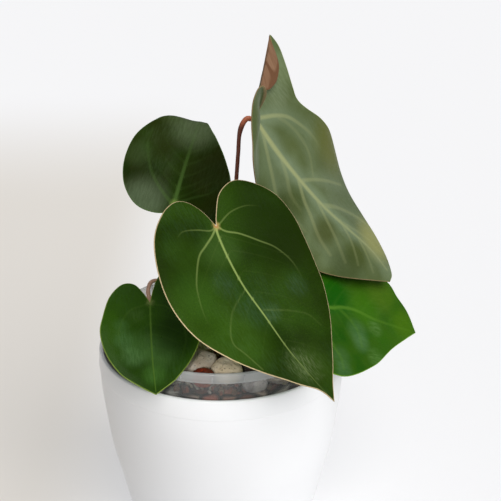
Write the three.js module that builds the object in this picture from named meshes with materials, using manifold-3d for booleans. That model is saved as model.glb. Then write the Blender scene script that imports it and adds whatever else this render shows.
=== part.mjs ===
// A potted anthurium hybrid: five heart-shaped leaves, a clear grow pot full of coarse
// stones, and the white outer pot that it stands in. Units are millimetres, +Z is up and
// the origin is the centre of the flat base.
import * as THREE from 'three';
import { mergeVertices } from 'three/addons/utils/BufferGeometryUtils.js';
import Module from 'manifold-3d';

const wasm = await Module();
wasm.setup();

// Driving dimensions.
const GAP = 0.3; // clearance between pieces that touch

const RIM_Z = 118; // height of the white rim
const POT_SIDES = 40; // facets of the turned parts
const POT_WALL = 2.4;
const POT_FLOOR = 3;
const POT_BASE_RADIUS = 50;
const POT_TOP_RADIUS = 70.1; // of the wall just below the lip
const POT_STEP_DEPTH = 0.35; // faint step in the wall just below the rim

const GROW_FLOOR_Z = POT_FLOOR + GAP;
const GROW_FLOOR = 1.4; // thickness of the grow pot's floor
const GROW_HEEL = 4; // height of the slope round its floor
const GROW_BASE_RADIUS = 50.5;
const GROW_RADIUS = 61.6; // outer radius just below the collar
const GROW_WALL = 0.9;
const GROW_NECK_Z = RIM_Z - 25; // from here up its wall is nearly straight
const COLLAR_RADIUS = 64.8;
const COLLAR_BOTTOM = RIM_Z + 7.3;
const COLLAR_TOP = RIM_Z + 13.3;
const COLLAR_RIBS = 24;
const RIB_WIDTH = 0.9;
const RIB_DEPTH = 1.1;
const RIB_MARGIN = 1.2; // from a rib's ends to the collar's edges
const RIB_PHASE = 0.8; // of one rib's share of the circle, from the front
const DRAIN_HOLES = 8;
const DRAIN_RADIUS = 3;
const DRAIN_CIRCLE = 34;

const FILL_TOP = RIM_Z - 3; // top of the packed substrate, under the loose stones
const FILL_RELIEF = 1.4; // how far its top dips between grains
const STONE_WALL_RADIUS = 59.9; // the stones stay inside this radius
const STONE_TOP = RIM_Z + 8.6; // and below this height
const CROWN_CLEARANCE = 10.5; // and this far from the stem's axis

const CROWN_RADIUS = 6.2;
const CROWN_TOP = RIM_Z + 12;
const CROWN_DEPTH = 14; // length of stem below the top of the substrate
const SHEATH_HEIGHT = 17;
const SHEATH_THICKNESS = 0.7;
const ROOT_RADIUS = 1.5;
const ROOT_CHANNEL = 0.6; // clearance around a root in the substrate
const PETIOLE_BASE = 1.7; // radius of a petiole where it leaves the stem
const PETIOLE_TIP = 1.2;
const GENICULUM = 1.5; // radius of the swollen joint just below a blade
const GENICULUM_START = 0.86; // shares of the petiole's length over which it swells
const GENICULUM_FULL = 0.94;

const BLADE_THICKNESS = 0.8;

// Small helpers.
const group = new THREE.Group();
group.name = 'potted_anthurium_hybrid';

const radians = THREE.MathUtils.degToRad;

function add(name, geometry, color, roughness) {
  const material = new THREE.MeshStandardMaterial({ color, roughness, metalness: 0 });
  const mesh = new THREE.Mesh(geometry, material);
  mesh.name = name;
  group.add(mesh);
  return mesh;
}

/** Three sine waves that never repeat, between about -1 and 1. */
function ripple(x, y, z, seed) {
  return (
    Math.sin(1.7 * x + 2.3 * seed) * Math.cos(1.3 * y - seed) * 0.5 +
    Math.sin(2.9 * y + 1.1 * z + 3.1 * seed) * 0.3 +
    Math.cos(3.7 * z - 2.1 * x + 0.7 * seed) * 0.2
  );
}

/** A pseudo-random value from 0 to 1 that depends only on its index and salt. */
function scatter(index, salt) {
  const value = Math.sin(index * 127.1 + salt * 311.7) * 43758.5453;
  return value - Math.floor(value);
}

function toManifold(geometry) {
  let bare = geometry.index ? geometry.toNonIndexed() : geometry.clone();
  bare.deleteAttribute('normal');
  bare.deleteAttribute('uv');
  bare = mergeVertices(bare, 1e-4);
  return new wasm.Manifold(
    new wasm.Mesh({
      numProp: 3,
      vertProperties: new Float32Array(bare.attributes.position.array),
      triVerts: new Uint32Array(bare.index.array),
    })
  );
}

function fromManifold(solid) {
  const mesh = solid.getMesh();
  const geometry = new THREE.BufferGeometry();
  geometry.setAttribute('position', new THREE.BufferAttribute(mesh.vertProperties, 3));
  geometry.setIndex(new THREE.BufferAttribute(mesh.triVerts, 1));
  return geometry;
}

/** Turns a profile of [radius, height] pairs about the Z axis. */
function revolve(profile, segments) {
  const points = profile.map(([radius, height]) => new THREE.Vector2(radius, height));
  return new THREE.LatheGeometry(points, segments).rotateX(Math.PI / 2);
}

/** Builds a closed solid from rings of points; each end is closed with a fan. */
function skin(rings) {
  const count = rings[0].length;
  const vertices = rings.flat();
  const faces = [];
  for (let i = 0; i + 1 < rings.length; i += 1) {
    for (let j = 0; j < count; j += 1) {
      const a = i * count + j;
      const b = i * count + ((j + 1) % count);
      faces.push(a, b, a + count, b, b + count, a + count);
    }
  }
  for (const [ring, flip] of [[0, true], [rings.length - 1, false]]) {
    const centre = rings[ring]
      .reduce((sum, point) => sum.add(point), new THREE.Vector3())
      .divideScalar(count);
    vertices.push(centre);
    for (let j = 0; j < count; j += 1) {
      const a = ring * count + j;
      const b = ring * count + ((j + 1) % count);
      faces.push(...(flip ? [b, a] : [a, b]), vertices.length - 1);
    }
  }
  const geometry = new THREE.BufferGeometry().setFromPoints(vertices);
  geometry.setIndex(faces);
  return geometry;
}

/**
 * A round rod along a curve. Its radius is given along its length from 0 to 1, and each
 * end can be drawn out by an extra length.
 */
function rod(points, radiusAt, steps, sides, extraLength = 0) {
  const curve = new THREE.CatmullRomCurve3(points.map((point) => new THREE.Vector3(...point)));
  const frames = curve.computeFrenetFrames(steps, false);
  const rings = [];
  for (let i = 0; i <= steps; i += 1) {
    const centre = curve.getPointAt(i / steps);
    if (i === 0) centre.addScaledVector(frames.tangents[i], -extraLength);
    if (i === steps) centre.addScaledVector(frames.tangents[i], extraLength);
    const ring = [];
    for (let j = 0; j < sides; j += 1) {
      const angle = (2 * Math.PI * j) / sides;
      const radius = radiusAt(i / steps);
      ring.push(
        centre
          .clone()
          .addScaledVector(frames.normals[i], radius * Math.cos(angle))
          .addScaledVector(frames.binormals[i], radius * Math.sin(angle))
      );
    }
    rings.push(ring);
  }
  return skin(rings);
}

// Outer pot.
// Outer radius of the wall at each height below the rim, measured down the photo.
const POT_CURVE = [
  [-110, 52.5],
  [-100, 56.1],
  [-80, 60.6],
  [-60, 65.1],
  [-40, 67.8],
  [-24, 69.5],
  [-13, POT_TOP_RADIUS],
];

// The lip above the wall: offset from the wall's top radius and height from the rim.
const LIP = [
  [POT_STEP_DEPTH, -11],
  [0.1, -2.2],
  [-0.2, -0.7],
  [-0.9, 0],
  [-1.8, 0],
  [-2.4, -0.8],
];

function outerPot() {
  const outside = POT_CURVE.map(([height, radius]) => [radius, RIM_Z + height]);
  const inside = POT_CURVE.map(([height, radius]) => [radius - POT_WALL, RIM_Z + height]);
  const lip = LIP.map(([offset, height]) => [POT_TOP_RADIUS + offset, RIM_Z + height]);
  return revolve(
    [
      [0, 0],
      [POT_BASE_RADIUS - 1.5, 0],
      [POT_BASE_RADIUS, 1.2],
      ...outside,
      ...lip,
      ...inside.reverse(),
      [POT_BASE_RADIUS - 1, POT_FLOOR + 2.5],
      [POT_BASE_RADIUS - 3.5, POT_FLOOR],
      [0, POT_FLOOR],
    ],
    POT_SIDES
  );
}
add('outer_pot', outerPot(), 0xe9eaec, 0.32);

// Clear grow pot.
function growPot() {
  const inner = GROW_RADIUS - GROW_WALL;
  const shell = toManifold(
    revolve(
      [
        [0, GROW_FLOOR_Z],
        [GROW_BASE_RADIUS - 4.5, GROW_FLOOR_Z],
        [GROW_BASE_RADIUS - 3.7, GROW_FLOOR_Z + GROW_HEEL],
        [GROW_RADIUS - 1, GROW_NECK_Z],
        [GROW_RADIUS, COLLAR_BOTTOM - 0.6],
        [COLLAR_RADIUS - 0.3, COLLAR_BOTTOM],
        [COLLAR_RADIUS, COLLAR_BOTTOM + 0.9],
        [COLLAR_RADIUS - 0.2, COLLAR_TOP - 0.6],
        [COLLAR_RADIUS - 0.8, COLLAR_TOP],
        [COLLAR_RADIUS - 1.5, COLLAR_TOP],
        [COLLAR_RADIUS - 1.9, COLLAR_TOP - 0.5],
        [COLLAR_RADIUS - 2.2, COLLAR_BOTTOM + 1.2],
        [inner, COLLAR_BOTTOM - 0.4],
        [inner - 1, GROW_NECK_Z],
        [GROW_BASE_RADIUS - 4.9, GROW_FLOOR_Z + GROW_HEEL],
        [GROW_BASE_RADIUS - 5.6, GROW_FLOOR_Z + GROW_FLOOR],
        [0, GROW_FLOOR_Z + GROW_FLOOR],
      ],
      POT_SIDES
    )
  );
  const holes = [new THREE.Vector2()];
  for (let i = 0; i < DRAIN_HOLES; i += 1) {
    const angle = (2 * Math.PI * i) / DRAIN_HOLES;
    holes.push(new THREE.Vector2(DRAIN_CIRCLE * Math.cos(angle), DRAIN_CIRCLE * Math.sin(angle)));
  }
  let pot = shell;
  for (const hole of holes) {
    const drill = new THREE.CylinderGeometry(DRAIN_RADIUS, DRAIN_RADIUS, 6, 14)
      .rotateX(Math.PI / 2)
      .translate(hole.x, hole.y, GROW_FLOOR_Z + GROW_FLOOR / 2);
    pot = pot.subtract(toManifold(drill));
  }
  const ribHeight = COLLAR_TOP - COLLAR_BOTTOM - 2 * RIB_MARGIN;
  for (let i = 0; i < COLLAR_RIBS; i += 1) {
    const rib = new THREE.BoxGeometry(RIB_WIDTH, RIB_DEPTH, ribHeight)
      .translate(0, -COLLAR_RADIUS - 0.05, (COLLAR_BOTTOM + COLLAR_TOP) / 2)
      .rotateZ((2 * Math.PI * (i + RIB_PHASE)) / COLLAR_RIBS);
    pot = pot.add(toManifold(rib));
  }
  return fromManifold(pot);
}
add('clear_grow_pot', growPot(), 0xcdd3d3, 0.15);

// Stem, sheaths and roots.
// Places on the stem's top where the petioles leave it.
const STEM_SPOTS = {
  front: [-1.0, -3.9],
  upper_right: [3.4, 0.6],
  back_left: [-2.6, 3.4],
  lower_left: [-4.4, -1.0],
  lower_right: [3.1, -3.3],
};

function stem(extra) {
  const rings = 10;
  const sides = 14;
  const bottom = FILL_TOP - CROWN_DEPTH - extra;
  const loops = [];
  for (let i = 0; i <= rings; i += 1) {
    const t = i / rings;
    const loop = [];
    for (let j = 0; j < sides; j += 1) {
      const angle = (2 * Math.PI * j) / sides;
      const knuckle = 0.35 * Math.sin(4.5 * Math.PI * t + angle);
      const radius = CROWN_RADIUS * (0.82 + 0.18 * Math.sqrt(t)) + knuckle + extra;
      const top = CROWN_TOP + extra;
      loop.push(
        new THREE.Vector3(
          radius * Math.cos(angle),
          radius * Math.sin(angle),
          THREE.MathUtils.lerp(bottom, top, t)
        )
      );
    }
    loops.push(loop);
  }
  return skin(loops);
}
add('stem', stem(0), 0x6f5b3c, 0.85);

/** One dry sheath: a thin pointed strip that wraps part of the stem's foot. */
function sheath(angle, spread, height) {
  const rows = 6;
  const columns = 6;
  const foot = FILL_TOP + FILL_RELIEF + GAP;
  const inside = [];
  const outside = [];
  for (let i = 0; i <= rows; i += 1) {
    const t = i / rows;
    const half = radians(spread) * Math.sqrt(Math.max(1 - t * t * 0.97, 0.02));
    const radius = CROWN_RADIUS + 0.65 + 1.6 * t * t;
    for (let j = 0; j <= columns; j += 1) {
      const around = radians(angle) + half * ((2 * j) / columns - 1);
      const direction = new THREE.Vector3(Math.cos(around), Math.sin(around), 0);
      const level = new THREE.Vector3(0, 0, foot + height * t);
      inside.push(level.clone().addScaledVector(direction, radius));
      outside.push(level.clone().addScaledVector(direction, radius + SHEATH_THICKNESS));
    }
  }
  return sheet(outside, inside, rows, columns);
}

/** Closes two matching grids of points into one thin solid. */
function sheet(top, bottom, rows, columns) {
  const vertices = [...top, ...bottom];
  const half = top.length;
  const at = (i, j) => i * (columns + 1) + j;
  const faces = [];
  const quad = (a, b, c, d) => faces.push(a, b, c, a, c, d);
  for (let i = 0; i < rows; i += 1) {
    for (let j = 0; j < columns; j += 1) {
      quad(at(i, j), at(i, j + 1), at(i + 1, j + 1), at(i + 1, j));
      quad(half + at(i, j), half + at(i + 1, j), half + at(i + 1, j + 1), half + at(i, j + 1));
    }
  }
  for (let i = 0; i < rows; i += 1) {
    quad(at(i, 0), at(i + 1, 0), half + at(i + 1, 0), half + at(i, 0));
    quad(at(i + 1, columns), at(i, columns), half + at(i, columns), half + at(i + 1, columns));
  }
  for (let j = 0; j < columns; j += 1) {
    quad(at(0, j + 1), at(0, j), half + at(0, j), half + at(0, j + 1));
    quad(at(rows, j), at(rows, j + 1), half + at(rows, j + 1), half + at(rows, j));
  }
  const geometry = new THREE.BufferGeometry().setFromPoints(vertices);
  geometry.setIndex(faces);
  return geometry;
}
add('dry_sheath_front', sheath(-100, 46, SHEATH_HEIGHT), 0x9a7a4d, 0.9);
add('dry_sheath_right', sheath(20, 40, SHEATH_HEIGHT * 0.75), 0x8c6d45, 0.9);
add('dry_sheath_back', sheath(140, 46, SHEATH_HEIGHT * 0.9), 0xa3845a, 0.9);

// Each root leaves the stem below the surface: heading, reach and depth of its tip.
const ROOTS = [
  ['root_front', -70, 44, 58],
  ['root_right', 5, 50, 34],
  ['root_back', 80, 42, 70],
  ['root_left', 165, 48, 46],
  ['root_down', 232, 42, 76],
];

function root(heading, reach, depth, extra) {
  const along = new THREE.Vector2(Math.cos(radians(heading)), Math.sin(radians(heading)));
  const start = CROWN_RADIUS + GAP + 0.4;
  const at = (radius, drop, side) => [
    along.x * radius - along.y * side,
    along.y * radius + along.x * side,
    FILL_TOP - 6 - drop,
  ];
  const path = [
    at(start, 0, 0),
    at(start + 4, 0, 0),
    at(reach * 0.5, depth * 0.12, 2.5),
    at(reach * 0.78, depth * 0.45, -1.5),
    at(reach, depth, 3),
  ];
  const radiusAt = (t) => ROOT_RADIUS * (1 - 0.45 * t) + extra;
  return rod(path, radiusAt, 14, 7, extra * 3);
}
for (const [name, heading, reach, depth] of ROOTS) {
  add(name, root(heading, reach, depth, 0), 0xc9b894, 0.75);
}

// Substrate.
function substrate() {
  const bottomZ = GROW_FLOOR_Z + GROW_FLOOR + GAP;
  const bottomRadius = GROW_BASE_RADIUS - 6.2;
  const topRadius = GROW_RADIUS - GROW_WALL - 1 - GAP;
  const circle = (radius, height, relief) => {
    const loop = [];
    for (let j = 0; j < POT_SIDES; j += 1) {
      const angle = (2 * Math.PI * j) / POT_SIDES;
      const x = radius * Math.cos(angle);
      const y = radius * Math.sin(angle);
      loop.push(new THREE.Vector3(x, y, height - relief * (1 + ripple(x / 4, y / 4, 0, 1))));
    }
    return loop;
  };
  const loops = [circle(bottomRadius, bottomZ, 0), circle(topRadius, GROW_NECK_Z, 0)];
  for (const radius of [topRadius + 0.6, 46, 33, 20]) {
    loops.push(circle(radius, FILL_TOP, FILL_RELIEF / 2));
  }
  let body = toManifold(skin(loops));
  body = body.subtract(toManifold(stem(GAP)));
  for (const [, heading, reach, depth] of ROOTS) {
    body = body.subtract(toManifold(root(heading, reach, depth, ROOT_CHANNEL)));
  }
  return fromManifold(body);
}
add('packed_substrate', substrate(), 0x6a5a4c, 0.95);

// Loose stones.
const STONE_COLORS = {
  pumice: 0x8f8577,
  cream_pumice: 0xc9b79c,
  red_lava: 0x8a3f28,
  black_lava: 0x2b2826,
  grey_stone: 0xa9a8a6,
};
const MIX = ['pumice', 'red_lava', 'cream_pumice', 'black_lava', 'grey_stone', 'pumice', 'red_lava'];

/** The stones seen in front are placed by hand; the rest fill rings around the stem. */
function layStones() {
  const stones = [
    { kind: 'pumice', x: -11.5, y: -38, radius: 9 },
    { kind: 'cream_pumice', x: 4, y: -46, radius: 8.6 },
    { kind: 'red_lava', x: -8.5, y: -53.5, radius: 6 },
    { kind: 'grey_stone', x: 19.5, y: -54, radius: 6.4 },
    { kind: 'black_lava', x: 17, y: -41, radius: 7 },
  ];
  const rings = [
    { radius: 52, from: -62, to: 238, count: 16, size: 9.6 },
    { radius: 34, from: -50, to: 230, count: 10, size: 9.4 },
    { radius: 19, from: -90, to: 270, count: 5, size: 8.4 },
  ];
  for (const ring of rings) {
    for (let i = 0; i < ring.count; i += 1) {
      const index = stones.length;
      const step = (ring.to - ring.from) / ring.count;
      const angle = radians(ring.from + step * (i + 0.5 + 0.3 * (scatter(index, 1) - 0.5)));
      const radius = ring.radius + 3 * (scatter(index, 2) - 0.5);
      stones.push({
        kind: MIX[Math.floor(scatter(index, 3) * MIX.length)],
        x: radius * Math.cos(angle),
        y: radius * Math.sin(angle),
        radius: ring.size * (0.9 + 0.2 * scatter(index, 4)),
      });
    }
  }
  return stones;
}

/** Half-spaces that a stone must stay inside: its neighbours, its seat and the stem. */
function limitsOf(stone, stones) {
  const floor = FILL_TOP + GAP;
  const limits = [
    { normal: new THREE.Vector3(0, 0, -1), distance: stone.z - floor },
    { normal: new THREE.Vector3(0, 0, 1), distance: STONE_TOP - stone.z },
  ];
  const fromStem = Math.hypot(stone.x, stone.y);
  limits.push({
    normal: new THREE.Vector3(-stone.x / fromStem, -stone.y / fromStem, 0),
    distance: fromStem - CROWN_CLEARANCE,
  });
  for (const other of stones) {
    const toOther = new THREE.Vector3(other.x - stone.x, other.y - stone.y, other.z - stone.z);
    const apart = toOther.length();
    if (other === stone || apart > stone.radius + other.radius + 2) continue;
    const middle = apart / 2 + (stone.radius ** 2 - other.radius ** 2) / (2 * apart);
    limits.push({ normal: toOther.divideScalar(apart), distance: middle - GAP / 2 });
  }
  return limits;
}

function stoneGeometry(stone, index, limits) {
  const ball = mergeVertices(stripped(new THREE.IcosahedronGeometry(1, 1)), 1e-4);
  const position = ball.attributes.position;
  const point = new THREE.Vector3();
  for (let i = 0; i < position.count; i += 1) {
    point.fromBufferAttribute(position, i);
    const rough = 1 + 0.16 * ripple(point.x * 1.6, point.y * 1.6, point.z * 1.6, index);
    point.multiplyScalar(stone.radius * 1.08 * rough);
    point.z *= 0.8;
    for (const { normal, distance } of limits) {
      const reach = point.dot(normal);
      if (reach > distance) point.multiplyScalar(distance / reach);
    }
    const outward = Math.hypot(stone.x + point.x, stone.y + point.y);
    if (outward > STONE_WALL_RADIUS) point.multiplyScalar(shrinkToWall(stone, point));
    position.setXYZ(i, stone.x + point.x, stone.y + point.y, stone.z + point.z);
  }
  return ball;
}

/** How far along its ray from the stone's centre a point may go before the pot's wall. */
function shrinkToWall(stone, point) {
  const a = point.x ** 2 + point.y ** 2;
  const b = stone.x * point.x + stone.y * point.y;
  const c = stone.x ** 2 + stone.y ** 2 - STONE_WALL_RADIUS ** 2;
  return (-b + Math.sqrt(b * b - a * c)) / a;
}

function stripped(geometry) {
  geometry.deleteAttribute('normal');
  geometry.deleteAttribute('uv');
  return geometry;
}

const stones = layStones();
for (const stone of stones) stone.z = FILL_TOP + GAP + 0.66 * stone.radius;
const kindCount = {};
stones.forEach((stone, index) => {
  kindCount[stone.kind] = (kindCount[stone.kind] ?? 0) + 1;
  const name = `${stone.kind}_${String(kindCount[stone.kind]).padStart(2, '0')}`;
  add(name, stoneGeometry(stone, index, limitsOf(stone, stones)), STONE_COLORS[stone.kind], 0.9);
});

// Leaves.
// A blade is drawn flat: u runs across it, v along the midrib from the petiole to the tip.
// Each side lists its edge from the petiole to the tip as [u, v], or as
// [u, v, w, middle w, crest u, crest v, crest w] where the edge rises off the flat or
// folds over a crest. Then bends curl it and its pose stands it in the pot.
const LEAVES = {
  front: {
    at: [-1.4, -32.6, 83.8],
    pose: [-45, -43.5, 0],
    left: [
      [0, 0], [3, -10], [9, -17.5], [17.5, -19.5], [29.5, -14.5], [42, -3], [51, 15.5], [54, 33.5],
      [50.2, 51], [39, 66.5], [25.5, 79.7], [15.3, 88.6], [9, 94.8], [3.4, 99.7], [1, 104],
      [0, 111],
    ],
    right: [
      [0, 0], [4, -6], [13.5, -16.5], [26.5, -20.5], [38.5, -14.5], [47, -4], [49.5, 10], [48, 23.5],
      [45, 39], [41, 54], [32.5, 71.5], [19.5, 89.5], [8, 102], [0, 111],
    ],
    bends: [
      { from: [3, 0], angle: 0, radius: 70, limit: 3, up: 1 },
      { from: [-3, 0], angle: 180, radius: 70, limit: 3, up: 1 },
      { from: [0, 74], angle: 90, radius: 88, limit: 18, up: 1 },
    ],
    color: 0x2a5522,
  },
  upper_right: {
    at: [18.8, 20, 126.6],
    pose: [-1.1, -54.4, 31.9],
    left: [
      [0, 0, 0, 0], [1.3, -7, 8, 4], [2.5, -13, 17, 8], [5.4, -17.2, 22, 12],
      [9.7, -16.1, 20, 13], [15, -12, 18, 13], [20.3, -4, 14, 12], [24.5, 5, 10, 9],
      [28.2, 13.3, 5.8, 4.9], [24.5, 27.3, -6.6, -2.3], [26.3, 37.7, -11.5, -4.8],
      [28.3, 49.9, -14.2, -6.1], [29.2, 62.5, -15.2, -6.6], [33.1, 74.0, -10.6, -4.3],
      [29.7, 86.3, -7.5, -2.8], [23.7, 96.7, -5.1, -1.5], [17.4, 105.6, -2.0, 0.0],
      [8.2, 115.6, -1, 0], [0, 124.6, 0, 0],
    ],
    right: [
      [0, 0], [4.1, -3.3], [8.3, -6], [11.9, -7.5, 1, 0.3],
      [14.8, -7.5, 3.2, 0.6, 16, -10.2, 1.4], [16.6, -6.1, 4, 0.8, 18.2, -11.6, 2],
      [19.5, -5.7, 4.5, 0.8, 21.8, -13.9, 2.2], [25.4, -6.5, 4.5, 0.8, 27, -16.8, 2.2],
      [32.1, -10.9, 4.5, 0.8, 32.7, -20, 2.1], [36.3, -16, 3.5, 0.6, 36.9, -22.3, 1.8],
      [39.4, -21, 2, 0.4, 39.5, -24.1, 1.2], [43.9, -26.6, 0, 0, 41.5, -25.2, 0.4],
      [44.8, -21], [43.8, -15.4], [40, -5.8], [35.5, 4], [32.8, 11.4], [35.4, 19.8],
      [42.8, 32], [47.2, 42.8], [46.5, 56.5], [41.2, 68.2], [34, 79], [28.9, 92.2],
      [23.7, 105.2], [15.5, 116.6], [6.2, 123.2], [0, 124.6],
    ],
    bendsRight: [
      { from: [-2, 0], angle: 180, radius: 30, limit: 10, up: 1, fade: [10, 75, -18] },
    ],
    bends: [{ from: [0, 0], angle: 90, radius: 900, limit: 8, up: 1 }],
    color: 0x53694a,
    rows: 44,
    columns: 9,
  },
  back_left: {
    at: [-26.5, 18, 77.1],
    pose: [70, 40, 4],
    left: [
      [0, 0], [4, -9], [13, -15], [23, -14], [31.5, -7], [33.4, 3], [31.4, 12], [28.6, 20],
      [24.6, 27.4], [19.4, 35.7], [12.2, 45.5], [7.6, 50.8], [3.8, 56], [1.4, 61], [0, 68],
    ],
    right: [
      [0, 0], [4, -7], [15, -8], [24, -4], [32, 6], [36, 20], [35, 36], [28.6, 47.8],
      [20.4, 54.6], [13.5, 57.4], [7.2, 59.2], [2.8, 61.5], [0, 68],
    ],
    bends: [
      { from: [3, 0], angle: 0, radius: 40, limit: 8, up: 1 },
      { from: [-3, 0], angle: 180, radius: 40, limit: 10, up: 1 },
      { from: [0, 50], angle: 90, radius: 8, limit: 85, up: -1 },
    ],
    color: 0x2b4430,
  },
  lower_left: {
    at: [-38.25, -23.8, 35.1],
    pose: [-83, -21, 0],
    left: [
      [0, 0], [3, -7], [8, -14], [15, -13], [22, -3], [26, 11], [28, 22], [25, 35],
      [18, 46], [8, 53], [0, 58],
    ],
    right: [
      [0, 0], [2, -9], [5, -18], [10, -24], [18, -20], [26, -6], [29, 10], [27, 24],
      [21, 38], [12, 49], [4, 55], [0, 58],
    ],
    bends: [
      { from: [3, 0], angle: 0, radius: 40, limit: 12, up: 1 },
      { from: [-3, 0], angle: 180, radius: 40, limit: 12, up: 1 },
      { from: [0, 8], angle: 90, radius: 60, limit: 12, up: -1 },
    ],
    color: 0x2f6322,
  },
  lower_right: {
    at: [45.9, -20.5, 34.5],
    pose: [22.4, -25.2, 40],
    left: [
      [0, 0], [4, -9], [12, -16], [22, -14], [33, -4], [39, 8], [40.6, 19], [40, 25],
      [37, 32.5], [32, 41], [26, 49.3], [15.2, 60], [6, 71.5], [0, 79.6],
    ],
    right: [
      [0, 0], [4, -8], [11, -13], [20, -11], [29, 0], [36, 16], [38, 32], [36, 48],
      [28.7, 62.7], [20.9, 68.4], [12.4, 75], [0, 79.6],
    ],
    sway: -4,
    bends: [],
    color: 0x35801e,
  },
};
const DEFAULT_ROWS = 18;
const DEFAULT_COLUMNS = 4;
const CREST = 0.8; // how far out along a vein the crest of a fold lies

/** A smooth stand-in for max(x, 0). */
const softMax = (x, width) => 0.5 * (x + Math.sqrt(x * x + width * width));

/** The unit directions across, along and out of a blade from its azimuth, climb and roll. */
function bladeFrame([azimuth, climb, roll]) {
  const [a, e, r] = [azimuth, climb, roll].map(radians);
  const along = new THREE.Vector3(
    Math.cos(a) * Math.cos(e),
    Math.sin(a) * Math.cos(e),
    Math.sin(e)
  );
  const level = new THREE.Vector3(
    -Math.cos(a) * Math.sin(e),
    -Math.sin(a) * Math.sin(e),
    Math.cos(e)
  );
  const side = new THREE.Vector3().crossVectors(along, level);
  const out = level.clone().multiplyScalar(Math.cos(r)).addScaledVector(side, Math.sin(r));
  const across = new THREE.Vector3().crossVectors(along, out);
  return { across, along, out };
}

/** Rolls the part of a blade past a line about that line, keeping its arc length. */
function bend(point, { from, angle, radius, limit, up, fade }) {
  const direction = new THREE.Vector2(Math.cos(radians(angle)), Math.sin(radians(angle)));
  const past = (point.x - from[0]) * direction.x + (point.y - from[1]) * direction.y;
  if (past <= 0) return;
  let turn = radians(limit);
  const span = radius * turn;
  if (fade) {
    const mix = THREE.MathUtils.smoothstep(point.y, fade[0], fade[1]);
    turn = THREE.MathUtils.lerp(turn, radians(fade[2]), mix);
  }
  let rate = turn / span;
  if (Math.abs(rate) < 1e-6) rate = 1e-6;
  const phi = rate * Math.min(past, span);
  const rest = Math.max(past - span, 0);
  const height = point.z * up;
  const moved = Math.sin(phi) / rate - height * Math.sin(phi) + rest * Math.cos(phi) - past;
  point.x += moved * direction.x;
  point.y += moved * direction.y;
  point.z = up * ((1 - Math.cos(phi)) / rate + height * Math.cos(phi) + rest * Math.sin(phi));
}

/** The height that the plain curve of a vein already has at the crest. */
const crestRise = (w, middle) => w * (2 * CREST * CREST - CREST) + middle * 4 * CREST * (1 - CREST);

/** How far the crest lies from the plain curve, which is nowhere when none is given. */
function crestOffset(u, v, w, middle, crest) {
  if (crest.length === 0) return [0, 0, 0];
  const [crestU, crestV, crestW] = crest;
  return [crestU - CREST * u, crestV - CREST * v, crestW - crestRise(w, middle)];
}

const smoothCurve = (points) => {
  const vectors = points.map((point) => new THREE.Vector3(...point));
  return new THREE.CatmullRomCurve3(vectors, false, 'catmullrom', 0.5);
};

/** Evenly spaced samples along one side's edge, with its fold data carried along. */
function edgeSamples(side, rows) {
  const curve = smoothCurve(side.map(([u, v]) => [u, v, 0]));
  const heights = smoothCurve(side.map(([, , w = 0, middle = 0]) => [w, middle, 0]));
  const crests = smoothCurve(
    side.map(([u, v, w = 0, middle = 0, ...crest]) => crestOffset(u, v, w, middle, crest))
  );
  curve.arcLengthDivisions = 400;
  const samples = [];
  for (let i = 0; i <= rows; i += 1) {
    const t = curve.getUtoTmapping(i / rows);
    samples.push({
      edge: curve.getPoint(t),
      height: heights.getPoint(t),
      crest: crests.getPoint(t),
    });
  }
  return samples;
}

/** Where the veins of one side leave the midrib, as a length from the petiole. */
function veinFeet(samples) {
  const length = samples.at(-1).edge.y;
  let furthest = 0.04 * length;
  return samples.map(({ edge }) => {
    furthest = Math.max(furthest, softMax(edge.y - 0.75 * edge.x, 0.08 * length));
    return Math.min(furthest - 0.04 * length, length);
  });
}

/** The flat points of one side of a blade; its midrib may sway sideways by a few mm. */
function bladeSide(samples, feet, columns, sign, sway) {
  const length = feet.at(-1);
  const grid = [];
  samples.forEach(({ edge, height, crest }, i) => {
    const shift = sway * Math.sin((Math.PI * feet[i]) / length);
    for (let j = 0; j <= columns; j += 1) {
      const t = j / columns;
      const bow = 0.1 * edge.x * Math.sin(Math.PI * t) * Math.min(feet[i] / (0.15 * length), 1);
      const tent = Math.max(t / CREST - softMax((t / CREST - (1 - t) / (1 - CREST)), 0.05), 0);
      grid.push(
        new THREE.Vector3(
          sign * (edge.x * t + crest.x * tent) + shift * (1 - t),
          feet[i] * (1 - t) + edge.y * t - bow + crest.y * tent,
          height.x * (2 * t * t - t) + height.y * 4 * t * (1 - t) + crest.z * tent
        )
      );
    }
  });
  return grid;
}

/** Joins both sides at the midrib, gives the blade its thickness and poses it. */
function blade(leaf) {
  const rows = leaf.rows ?? DEFAULT_ROWS;
  const columns = leaf.columns ?? DEFAULT_COLUMNS;
  const sway = leaf.sway ?? 0;
  const left = edgeSamples(leaf.left, rows);
  const right = edgeSamples(leaf.right, rows);
  const leftFeet = veinFeet(left);
  const rightFeet = veinFeet(right);
  const length = leaf.left.at(-1)[1];
  const feet = leftFeet.map((foot, i) => (i === rows ? length : (foot + rightFeet[i]) / 2));
  const sides = [
    { grid: bladeSide(left, feet, columns, 1, sway), bends: leaf.bendsLeft ?? [], sign: 1 },
    { grid: bladeSide(right, feet, columns, -1, sway), bends: leaf.bendsRight ?? [], sign: -1 },
  ];
  const { across, along, out } = bladeFrame(leaf.pose);
  const origin = new THREE.Vector3(...leaf.at).add(new THREE.Vector3(0, 0, RIM_Z));
  for (const { grid, bends } of sides) {
    for (const point of grid) {
      for (const each of [...bends, ...leaf.bends]) bend(point, each);
      const { x, y, z } = point;
      point
        .copy(origin)
        .addScaledVector(across, x)
        .addScaledVector(along, y)
        .addScaledVector(out, z);
    }
  }
  return thicken(sides, rows, columns);
}

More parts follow.
